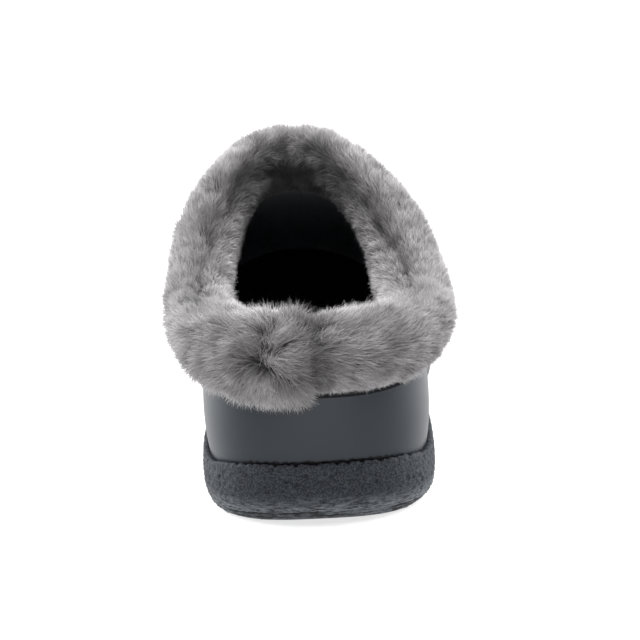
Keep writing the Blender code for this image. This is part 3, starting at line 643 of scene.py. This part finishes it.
SEAM_DEPTH, SEAM_NOTCH, SEAM_NOTCH_TO, SEAM_WIDTH_SHARE = 1.4, 1.6, 0.6, 0.014
SEAM_OFF_SHARE = 0.0065  # the strip's ends meet a little to the inner side of the heel's middle
# The crease between the two folds, over the collar's edge, fades out towards the back and over the throat
CREST_PLACE, CREASE_DEPTH, CREASE_HALF_WIDTH = 7.0, 2.4, 0.45
CREASE_FROM, CREASE_FULL, CREASE_FADES, CREASE_TO = 0.12, 0.24, 0.54, 0.74

backing_down, backing_out, backing_place = even_rows(
    BACKING_SECTION["down"], BACKING_SECTION["out"], BACKING_ROWS)
around = upper_outline.shares
past_seam = around * upper_outline.sides + SEAM_OFF_SHARE
inner_end = past_seam < 0
from_seam = np.abs(past_seam)


def rows_near(place, half_height):
    """1 on the row at a place of the section, falling to 0 on the rows above and below."""
    return np.exp(-((backing_place - place) / half_height) ** 2)[:, None]


fit = {name: curve_through(CUFF_FIT["share"], CUFF_FIT[name], around) for name in CUFF_FIT}
depth = np.where(inner_end, fit["medial_depth"], fit["lateral_depth"])
inner_puff = np.where(inner_end, fit["medial_inner"], fit["lateral_inner"])
at_seam = eased(1.0 - from_seam / SEAM_WIDTH_SHARE)
crease_run = eased_between(around, CREASE_FROM, CREASE_FULL) * eased_between(around, CREASE_TO, CREASE_FADES)
creased = rows_near(CREST_PLACE, CREASE_HALF_WIDTH) * crease_run
fur_skin = []
for down, out, crease in zip(backing_down, backing_out, creased):
    on_outside = eased(out / OUTSIDE_FROM)
    fitted = down * (1.0 + on_outside * (depth - 1.0)) if down > 0 else np.full(len(depth), down)
    puffed = out * (fit["outer_puff"] if out > 0 else inner_puff)
    sunk = (CREASE_DEPTH * crease + fit["inner_sink"] * eased(out / SUNK_FROM)
            + SEAM_NOTCH * at_seam * (down < SEAM_NOTCH_TO))
    fur_skin.append(upper_form.ring(
        fitted + sunk, puffed - UPPER_WALL / 2 - SEAM_DEPTH * on_outside * at_seam))
fur_skin = np.array(fur_skin)
backing_rings = [upper_form.ring(down * depth, GAP) for down in CUFF_COVERS]
backing_rings += [upper_form.ring(down, out) for down, out in (
    (-GAP, GAP), (-GAP, -UPPER_WALL - GAP), (CUFF_REACH_INSIDE, -UPPER_WALL - GAP))]
backing_rings += list(fur_skin[::-1])

# Root-dark backing: a dense underfur, matt and darker than the tips, partly as painted shade deep in the
# pile.
underfur, tree, shader = new_material("grey_underfur")
place = add_node(tree, "ShaderNodeTexCoord", {}).outputs["Object"]
flecks = add_node(tree, "ShaderNodeTexNoise", {"Vector": place, "Scale": per_metre(0.8), "Detail": 3.0})
under_tone = add_node(tree, "ShaderNodeValToRGB", {"Fac": flecks}, ((0.3, "#222223"), (0.7, "#3c3c3d")))
nap = add_node(tree, "ShaderNodeBump", {"Strength": 0.8, "Distance": 0.4 * MM, "Height": flecks})
set_inputs(shader, {
    "Base Color": under_tone, "Normal": nap, "Roughness": 0.95, "Specular IOR Level": 0.1})

backing = new_piece("fur_backing", ring_mesh("fur_backing", backing_rings), underfur)
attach(backing, "root")
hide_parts("fur_cuff")

# Fur cuff, lip shadow: a narrow black strip under the cuff's lower edge, against the upper. It is painted
# shadow under the lip, and shows as a black line where the pile above it is short.
LIP_SHADOW_SECTION = {"down": (14.8, 20.1, 20.3, 20.1, 14.8), "out": (0.30, 0.30, 0.55, 0.80, 0.80)}

# Painted shadow under the cuff's lip: matt black.
lip_shadow_black, _, shader = new_material("painted_lip_shadow")
set_inputs(shader, {"Base Color": linear("#121315"), "Roughness": 0.95, "Specular IOR Level": 0.1})

lip_shadow_rings = [upper_form.ring(down * depth, out) for down, out in zip(*LIP_SHADOW_SECTION.values())]
edge_tape = new_piece("edge_tape", ring_mesh("edge_tape", lip_shadow_rings), lip_shadow_black)
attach(edge_tape, "root")

# Fur cuff, pile: soft grey acrylic pile, knitted into the backing and brushed outward from the seam at the
# back. The hairs gather in small locks, dark at the root and pale at the tip. They are drawn coarser than
# the fibre, so that they show.
PILE_LENGTH, HAIR_WIDTH, HAIR_LIFT = 7.0, 0.13, 0.80
LOCK_SIZE, LOCK_PULL = 3.0, 0.55
SWIRL_SIZE, SWIRL = 8.0, 1.8
HAIRS_PER_MM2, FIRST_SEED = {"outer": 13.2, "inner": 12.0}, 11
HAIR_TILT = ((-0.22, -0.6, -0.50), (0.34, 0.6, 0.50))  # radians of a single hair off the lie, least and most
HAIR_LENGTHS, LOCK_LENGTHS = (0.6, 1.15), (0.72, 1.15)
HAIR_TONES, LOCK_TONES = (0.8, 1.1), (0.68, 1.10)
# Lie of the hair in degrees, by place in the section and by station round the collar: 0 runs along the
# collar away from the back seam, 90 runs on over the collar towards the inside, -90 runs down the outside.
# Beside the seam the inner end stands up in a tuft, and a whorl is left between it and the hair further on.
LIE_PLACES = (0.0, 2.0, 3.5, 5.0, 6.5, 8.0, 10.0, 13.0)
LIE = {
    "seam": {"share": 0.008, "medial": (-92.0, -100.0, 165.0, 98.0, 88.0, 82.0, 80.0, 85.0),
             "lateral": (-60.0, -32.0, 8.0, 28.0, 52.0, 70.0, 80.0, 85.0)},
    "back": {"share": 0.085, "medial": (-84.0, -58.0, -16.0, 8.0, 40.0, 60.0, 70.0, 85.0),
             "lateral": (-55.0, -28.0, 6.0, 18.0, 48.0, 60.0, 70.0, 85.0)},
    "side": {"share": 0.26, "both": (-60.0, -30.0, -8.0, -5.0, -30.0, 15.0, 35.0, 70.0)},
    "throat": {"share": 0.84, "both": (-80.0, -75.0, -60.0, -40.0, 0.0, 50.0, 70.0, 85.0)},
    "apex": {"share": 1.0, "both": (-90.0, -90.0, -88.0, -75.0, 60.0, 85.0, 88.0, 88.0)},
}
HAIR_REACH = {
    "place": (0.0, 1.2, 2.2, 3.2, 6.5, 8.0, 13.0),
    "medial": (0.80, 0.85, 0.95, 1.00, 0.95, 0.70, 0.55),
    "lateral": (0.23, 0.35, 0.74, 1.00, 0.95, 0.70, 0.55),  # leaves the black strip of painted shadow under the lip bare
}
BARE_LIP_TO, COVERED_LIP_FROM = 0.45, 0.80  # the black strip is covered again towards the throat
LONG_LOCK_TO, LONG_LOCK_NONE, MEDIAL_BARE = 0.055, 0.085, 0.50  # and under the inner end's long lock
# On the crest the inner end's hair makes a tuft beside the seam, and the outer end's a notch
TUFT_REACH, NOTCH_REACH, TUFT_SHARE, TUFT_HALF_HEIGHT = 1.25, 0.5, 0.020, 2.2
THROAT_REACH, THROAT_FROM, THROAT_FULL = 0.92, 0.26, 0.90  # hair is a little shorter towards the throat
CREASE_REACH = 0.35  # hair is short in the crease, which strands cross here and there
CREASE_BREAK_SIZE, CREASE_WHOLE, CREASE_BREAKS = 9.0, 0.6, 1.6
# Painted shade: the pile is darker over the throat, and darkest on the inner fold there
SHADE_FROM, SHADE_FULL = 0.40, 0.64
THROAT_SHADE = {
    "place": (4.5, 5.6, 6.3, 6.9, 7.6, 8.6, 9.6),
    "tone": (0.98, 0.88, 0.58, 0.24, 0.15, 0.22, 0.27),
}
# Painted light and shade on the inner fold: lighter along the sides, a little darker towards the back
INNER_FOLD_LIGHT = {
    "share": (0.0, 0.10, 0.22, 0.34, 0.42, 0.50, 0.60, 1.0),
    "tone": (0.98, 0.94, 0.88, 0.94, 1.12, 1.30, 1.30, 1.20),
}
# Painted shade: a thin dark line along the crease between the folds
CREASE_SHADE, CREASE_LINE_WIDTH = 0.3, 0.28
SEAM_TONE, SEAM_SHADE_SHARE, SEAM_SHADE_INNER = 0.34, 0.013, 0.45  # the outer end lies in the tuft's shade
WHORL_SHADE, WHORL_EDGE = 0.70, 0.8  # and the whorl is darkened with painted shade
# Painted shade along the crest: darker beside the seam and over the back corners
CREST_SHADE_PLACE, CREST_SHADE_HALF_HEIGHT = 6.5, 1.7
CREST_SHADE = {
    "share": (0.0, 0.022, 0.040, 0.06, 0.11, 0.20, 0.32, 0.42),
    "tone": (0.62, 0.66, 1.08, 1.00, 0.54, 0.36, 0.48, 1.00),
}
MOTTLE, MOTTLE_SIZE = 0.30, 5.0  # uneven dye and shade between tufts
TOUSLE, TOUSLE_SIZE, TOUSLE_SHARE, TOUSLE_SEED = 0.9, 2.4, 0.07, 1  # ruffled hair beside the seam
# Clefts where the pile parts along its lie, so that its dark roots show, darkened further with painted shade
CLEFT_COUNT, CLEFT_SEED, CLEFT_PUSH, CLEFT_SHADE = 90, 4, 1.5, 0.62
CLEFT_LENGTH, CLEFT_WIDTH = (3.0, 6.5), (0.9, 1.8)


def lie_parts(station):
    """The lie at a station as parts along the collar and over it, at each row and side of the skin."""
    ends = []
    for end in ("medial", "lateral"):
        angles = np.radians(station[end] if end in station else station["both"])
        parts = [np.interp(backing_place, LIE_PLACES, part) for part in (np.cos(angles), np.sin(angles))]
        ends.append(np.stack(parts, axis=-1)[:, None, :])
    return np.where(inner_end[None, :, None], *ends)


def turned_to(value, weight):
    """A factor that goes from 1 to a value as the value's weight goes from 0 to 1."""
    return 1.0 + (value - 1.0) * weight


skin_along = unit(np.roll(fur_skin, -1, axis=1) - np.roll(fur_skin, 1, axis=1))
skin_up = unit(np.gradient(fur_skin, axis=0))
away = np.where(inner_end, -1.0, 1.0)[:, None]
stations = list(LIE.values())
lie = lie_parts(stations[0])
for before, after in zip(stations, stations[1:]):
    lie = lie + (lie_parts(after) - lie) * eased_between(from_seam, before["share"], after["share"])[:, None]
# Where the lie turns, in the whorl, it is weak and the ruffle takes over
noise.seed_set(TOUSLE_SEED)
ruffle = np.array([[noise.noise_vector(Vector(point / TOUSLE_SIZE)) for point in ring] for ring in fur_skin])
beside_seam = np.exp(-(from_seam / TOUSLE_SHARE) ** 2)[:, None]
hair_flow = skin_along * away * lie[..., :1] + skin_up * lie[..., 1:] + TOUSLE * beside_seam * ruffle

seam_shade = np.where(inner_end, SEAM_SHADE_INNER, 1.0) * np.exp(-(from_seam / SEAM_SHADE_SHARE) ** 2)
in_whorl = 1.0 - eased(np.linalg.norm(lie, axis=-1) / WHORL_EDGE)
tone_and_painted_light = 1.0 + MOTTLE * noise_at(fur_skin, MOTTLE_SIZE)
tone_and_painted_light *= turned_to(SEAM_TONE, seam_shade) * turned_to(WHORL_SHADE, in_whorl)
chance = np.random.default_rng(CLEFT_SEED)
for _ in range(CLEFT_COUNT):
    row, line = chance.integers(fur_skin.shape[0]), chance.integers(fur_skin.shape[1])
    length, width = chance.uniform(*CLEFT_LENGTH), chance.uniform(*CLEFT_WIDTH)
    offset = fur_skin - fur_skin[row, line]
    direction = unit(hair_flow[row, line])
    run = offset @ direction
    across = offset - run[..., None] * direction
    off_line = np.linalg.norm(across, axis=-1) / width
    fading = np.exp(-(run / length) ** 2 - off_line ** 2)
    hair_flow = hair_flow + CLEFT_PUSH * fading[..., None] * across / width
    tone_and_painted_light *= turned_to(CLEFT_SHADE, fading)

medial_reach, lateral_reach = (
    np.interp(backing_place, HAIR_REACH["place"], HAIR_REACH[end])[:, None] for end in ("medial", "lateral"))
past_lock = MEDIAL_BARE * eased_between(from_seam, LONG_LOCK_TO, LONG_LOCK_NONE)
bare_lip = np.where(inner_end, past_lock, 1.0) * eased_between(around, COVERED_LIP_FROM, BARE_LIP_TO)
crest_row = int(np.argmin(np.abs(backing_place - CREST_PLACE)))
breaks = noise_at(fur_skin[crest_row], CREASE_BREAK_SIZE)
parted = creased * eased(CREASE_WHOLE + CREASE_BREAKS * breaks)
at_crest = rows_near(CREST_PLACE, TUFT_HALF_HEIGHT) * np.exp(-(from_seam / TUFT_SHARE) ** 4)
hair_reach = medial_reach + (lateral_reach - medial_reach) * bare_lip
hair_reach *= turned_to(np.where(inner_end, TUFT_REACH, NOTCH_REACH), at_crest)
hair_reach *= turned_to(THROAT_REACH, eased_between(from_seam, THROAT_FROM, THROAT_FULL))
hair_reach *= turned_to(CREASE_REACH, parted)

inner_fold_light = curve_through(INNER_FOLD_LIGHT["share"], INNER_FOLD_LIGHT["tone"], around)
fold_light = np.where((backing_place > CREST_PLACE)[:, None], inner_fold_light, 1.0)
throat_shade = np.interp(backing_place, THROAT_SHADE["place"], THROAT_SHADE["tone"])[:, None]
crease_shade_line = rows_near(CREST_PLACE, CREASE_LINE_WIDTH) * parted.max(axis=0)
crest_shade_tone = np.interp(from_seam, CREST_SHADE["share"], CREST_SHADE["tone"])
# Painted light and shade on the folds, turning to the throat's painted shade towards the front.
tone_and_painted_light *= fold_light + (throat_shade - fold_light) * eased_between(around, SHADE_FROM, SHADE_FULL)
tone_and_painted_light *= turned_to(CREASE_SHADE, crease_shade_line)
tone_and_painted_light *= turned_to(crest_shade_tone, rows_near(CREST_SHADE_PLACE, CREST_SHADE_HALF_HEIGHT))

# One hair: a thin ribbon that rises from the backing and bends over to a point, one unit long.
HAIR = {
    "across": (-0.4, 0.4, -0.5, 0.5, 0.0),
    "forward": (0.0, 0.0, 0.36, 0.36, 0.85),
    "up": (-0.04, -0.04, 0.34, 0.34, 0.50),
    "along": (0.0, 0.0, 0.5, 0.5, 1.0),
    "faces": ((0, 1, 3, 2), (2, 3, 4)),
}
hair_mesh = bpy.data.meshes.new("one_hair")
hair_mesh.from_pydata(list(zip(HAIR["across"], HAIR["forward"], HAIR["up"])), [], HAIR["faces"])
hair_mesh.shade_smooth()
store_values(hair_mesh, "along_hair", HAIR["along"])
one_hair = new_piece("one_hair", hair_mesh)

# Acrylic pile: fine crimped fibre, dark root to pale grey tip, soft and nearly matt with a faint sheen.
acrylic_pile, tree, shader = new_material("grey_acrylic_pile")
along_hair = add_node(tree, "ShaderNodeAttribute", {}, attribute_name="along_hair")
hair_tone = add_node(tree, "ShaderNodeAttribute", {}, attribute_name="hair_tone")
root_to_tip = add_node(tree, "ShaderNodeValToRGB", {"Fac": along_hair.outputs["Fac"]}, (
    (0.0, "#383637"), (0.45, "#737172"), (0.9, "#aaa8a9")))
# Each hair's tone carries the skin's random tone and its painted light and shade.
toned = add_node(tree, "ShaderNodeMix", {
    MIX_SHARE: 1.0, COLOUR_A: root_to_tip, COLOUR_B: hair_tone.outputs["Color"]},
    data_type="RGBA", blend_type="MULTIPLY")
set_inputs(shader, {
    "Base Color": toned.outputs[MIXED_COLOUR], "Roughness": 0.6, "Specular IOR Level": 0.25,
    "Sheen Weight": 0.15})


def pile_tree():
    """Geometry nodes that plant a hair on each point of a skin, laid along its flow and drawn into locks."""
    tree = bpy.data.node_groups.new("grey_pile", "GeometryNodeTree")
    tree.interface.new_socket("Pile", in_out="OUTPUT", socket_type="NodeSocketGeometry")
    kinds = {"Skin": "Geometry", "Hair": "Object", "Material": "Material", "Seed": "Int"}
    for name in ("Skin", "Hair", "Material", "Density", "Length", "Width", "Lift", "Lock Size", "Lock Pull",
                 "Swirl Size", "Swirl", "Seed"):
        tree.interface.new_socket(name, in_out="INPUT", socket_type="NodeSocket" + kinds.get(name, "Float"))
    sizes = add_node(tree, "NodeGroupInput", {}).outputs
    points = add_node(tree, "GeometryNodeDistributePointsOnFaces", {
        "Mesh": sizes["Skin"], "Density": sizes["Density"], "Seed": sizes["Seed"]})
    spot = add_node(tree, "GeometryNodeInputPosition", {})
    flow, reach, tone_and_painted_light = (
        add_node(tree, "GeometryNodeInputNamedAttribute", {"Name": name}, data_type=kind)
        for name, kind in (("flow", "FLOAT_VECTOR"), ("reach", "FLOAT"), ("tone", "FLOAT")))
    lock_scale, swirl_scale = (
        add_node(tree, "ShaderNodeMath", {0: 1.0, 1: sizes[name]}, operation="DIVIDE")
        for name in ("Lock Size", "Swirl Size"))

    locks = add_node(tree, "ShaderNodeTexVoronoi", {"Vector": spot, "Scale": lock_scale})
    inward = add_node(tree, "ShaderNodeVectorMath", {
        0: locks.outputs["Position"], 1: spot}, operation="SUBTRACT")
    drawn = add_node(tree, "ShaderNodeMath", {0: lock_scale, 1: sizes["Lock Pull"]}, operation="MULTIPLY")
    pull = add_node(tree, "ShaderNodeVectorMath", {0: inward, "Scale": drawn}, operation="SCALE")
    eddies = add_node(tree, "ShaderNodeTexNoise", {"Vector": spot, "Scale": swirl_scale, "Detail": 1.0})
    centred = add_node(tree, "ShaderNodeVectorMath", {
        0: eddies.outputs["Color"], 1: (0.5, 0.5, 0.5)}, operation="SUBTRACT")
    swirled = add_node(tree, "ShaderNodeVectorMath", {0: centred, "Scale": sizes["Swirl"]}, operation="SCALE")
    combed = flow
    for bend in (pull, swirled):
        combed = add_node(tree, "ShaderNodeVectorMath", {0: combed, 1: bend}, operation="ADD")
    facing = add_node(tree, "FunctionNodeAxesToRotation", {
        0: points.outputs["Normal"], 1: combed}, primary_axis="Z", secondary_axis="Y")
    tilt = add_node(tree, "FunctionNodeRandomValue", {
        0: HAIR_TILT[0], 1: HAIR_TILT[1], "Seed": 1}, data_type="FLOAT_VECTOR")
    turned = add_node(tree, "FunctionNodeEulerToRotation", {0: tilt})
    laid = add_node(tree, "FunctionNodeRotateRotation", {0: facing, 1: turned}, rotation_space="LOCAL")

    # A hair's length and tone are its lock's share of them, times its own, times what the skin says. The
    # sockets are those of a random number.
    LEAST_NUMBER, MOST_NUMBER, RANDOM_NUMBER = 2, 3, 1
    lock_kind = add_node(tree, "FunctionNodeSeparateColor", {0: locks.outputs["Color"]})
    products = []
    for of_locks, channel, of_hairs, seed, factors in (
            (LOCK_LENGTHS, "Green", HAIR_LENGTHS, 2, (reach, sizes["Length"])),
            (LOCK_TONES, "Red", HAIR_TONES, 3, (tone_and_painted_light,))):
        product = add_node(tree, "ShaderNodeMapRange", {
            "Value": lock_kind.outputs[channel], "To Min": of_locks[0], "To Max": of_locks[1]})
        own = add_node(tree, "FunctionNodeRandomValue", {
            LEAST_NUMBER: of_hairs[0], MOST_NUMBER: of_hairs[1], "Seed": seed}, data_type="FLOAT")
        for factor in (own.outputs[RANDOM_NUMBER], *factors):
            product = add_node(tree, "ShaderNodeMath", {0: product, 1: factor}, operation="MULTIPLY")
        products.append(product)
    length, tone = products
    height = add_node(tree, "ShaderNodeMath", {0: length, 1: sizes["Lift"]}, operation="MULTIPLY")
    size = add_node(tree, "ShaderNodeCombineXYZ", {0: sizes["Width"], 1: length, 2: height})
    toned = add_node(tree, "GeometryNodeStoreNamedAttribute", {
        "Geometry": points, "Name": "hair_tone", "Value": tone}, data_type="FLOAT", domain="POINT")

    hair = add_node(tree, "GeometryNodeObjectInfo", {"Object": sizes["Hair"]})
    planted = add_node(tree, "GeometryNodeInstanceOnPoints", {
        "Points": toned, "Instance": hair.outputs["Geometry"], "Rotation": laid, "Scale": size})
    realized = add_node(tree, "GeometryNodeRealizeInstances", {"Geometry": planted})
    dressed = add_node(tree, "GeometryNodeSetMaterial", {"Geometry": realized, "Material": sizes["Material"]})
    add_node(tree, "NodeGroupOutput", {"Pile": dressed})
    return tree


def planted_skin(name, rows, lines):
    """A patch of the skin as an open mesh that holds the lie, the reach and the tone, with its painted light
    and shade, of its hair.
    """
    index = np.arange(len(rows) * len(lines)).reshape(len(rows), len(lines))
    quads = np.stack([index[:-1, :-1], index[:-1, 1:], index[1:, 1:], index[1:, :-1]], axis=-1)
    picked = np.ix_(rows, lines)
    points = (fur_skin[picked].reshape(-1, 3) + row_shift) * MM
    mesh = bpy.data.meshes.new(name)
    mesh.from_pydata(points.tolist(), [], quads.reshape(-1, 4).tolist())
    mesh.attributes.new("flow", "FLOAT_VECTOR", "POINT").data.foreach_set(
        "vector", hair_flow[picked].astype(np.float32).ravel())
    store_values(mesh, "reach", hair_reach[picked])
    store_values(mesh, "tone", tone_and_painted_light[picked])
    mesh.shade_smooth()
    return mesh


grey_pile = pile_tree()
sockets = {item.name: item.identifier for item in grey_pile.interface.items_tree if item.in_out == "INPUT"}
pile_sizes = {
    "Hair": one_hair, "Material": acrylic_pile, "Length": PILE_LENGTH * MM, "Width": HAIR_WIDTH * MM,
    "Lift": HAIR_LIFT, "Lock Size": LOCK_SIZE * MM, "Lock Pull": LOCK_PULL, "Swirl Size": SWIRL_SIZE * MM,
    "Swirl": SWIRL}
all_lines = np.arange(len(around) + 1) % len(around)
halves = {"lateral": all_lines[:UPPER_STEPS + 1], "medial": all_lines[UPPER_STEPS:]}
folds = {"outer": np.arange(0, crest_row + 1), "inner": np.arange(crest_row, BACKING_ROWS)}
patches = [(fold, half) for fold in folds for half in halves]
for seed, (fold, half) in enumerate(patches, FIRST_SEED):
    name = f"fur_pile_{fold}_{half}"
    pile = new_piece(name, planted_skin(name, folds[fold], halves[half]))
    plant = pile.modifiers.new("pile", "NODES")
    plant.node_group = grey_pile
    density = HAIRS_PER_MM2[fold] / MM ** 2
    for socket, value in {**pile_sizes, "Density": density, "Seed": seed}.items():
        plant[sockets[socket]] = value
    made_plain(pile)
    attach(pile, "root")
bpy.data.objects.remove(one_hair)

# Studio: a white sweep, soft boxes at both sides and above, a small fill, and a camera behind the heel, a
# little above it and rolled, as the photograph was taken.
bpy.context.scene.view_settings.view_transform = "Standard"
FLOOR_HALF = 6.0
floor_mesh = bpy.data.meshes.new("floor")
floor_corners = [(x * FLOOR_HALF, y * FLOOR_HALF, 0) for x, y in ((-1, -1), (1, -1), (1, 1), (-1, 1))]
floor_mesh.from_pydata(floor_corners, [], [(0, 1, 2, 3)])

# Matt white sweep: paper under its own light, which burns out to plain white.
white_sweep, _, shader = new_material("matt_white_sweep")
set_inputs(shader, {
    "Base Color": linear("#a4a4a4"), "Roughness": 0.9, "Specular IOR Level": 0.0,
    "Emission Color": linear("#ffffff"), "Emission Strength": 0.70})
floor = new_piece("floor", floor_mesh, white_sweep)

world = bpy.data.worlds.new("studio")
bpy.context.scene.world = world
world.use_nodes = True
set_inputs(world.node_tree.nodes["Background"], {"Color": linear("#ffffff"), "Strength": 0.09})

# Square lamps, in metres and watts
LAMPS_AIM_AT = Vector((0.0, -0.04, 0.05))
LAMPS = (
    {"name": "left_box", "place": (-1.2, 0.45, 0.75), "size": 1.1, "power": 49.0},
    {"name": "right_box", "place": (1.2, 0.45, 0.75), "size": 1.1, "power": 44.0},
    {"name": "top_box", "place": (0.0, 0.15, 1.4), "size": 1.3, "power": 60.0},
    {"name": "front_fill", "place": (0.0, -1.1, 0.12), "size": 0.16, "power": 2.1},
)
for lamp in LAMPS:
    light = bpy.data.lights.new(lamp["name"], "AREA")
    light.size, light.energy = lamp["size"], lamp["power"]
    box = bpy.data.objects.new(lamp["name"], light)
    box.location = lamp["place"]
    box.rotation_euler = (LAMPS_AIM_AT - Vector(lamp["place"])).to_track_quat("-Z", "Y").to_euler()
    bpy.context.scene.collection.objects.link(box)

# The middle of the heel's rim is seen at its pixel in the photograph
PHOTO_SIZE, PIXELS_PER_MM = 640, 3.41
HEEL_RIM_POINT, HEEL_RIM_PIXEL = (0.0, 0.0, 19.0), (319.0, 464.0)
CAMERA_DEPTH, CAMERA_ELEVATION, CAMERA_ROLL = 720.0, 15.5, 2.7
camera_data = bpy.data.cameras.new("camera")
camera_data.sensor_width = 36.0
camera_data.lens = PIXELS_PER_MM * CAMERA_DEPTH * camera_data.sensor_width / PHOTO_SIZE
camera_data.clip_start, camera_data.clip_end = 0.05, 50.0
camera = bpy.data.objects.new("camera", camera_data)
turn = Euler((np.radians(90.0 - CAMERA_ELEVATION), 0, 0)).to_matrix() @ Matrix.Rotation(
    np.radians(-CAMERA_ROLL), 3, "Z")
off_x = (HEEL_RIM_PIXEL[0] - PHOTO_SIZE / 2) / PIXELS_PER_MM
off_y = (PHOTO_SIZE / 2 - HEEL_RIM_PIXEL[1]) / PIXELS_PER_MM
heel_rim = Vector(np.array(HEEL_RIM_POINT) + row_shift)
camera.location = (heel_rim - turn @ Vector((off_x, off_y, -CAMERA_DEPTH))) * MM
camera.rotation_euler = turn.to_euler()
bpy.context.scene.collection.objects.link(camera)
bpy.context.scene.camera = camera
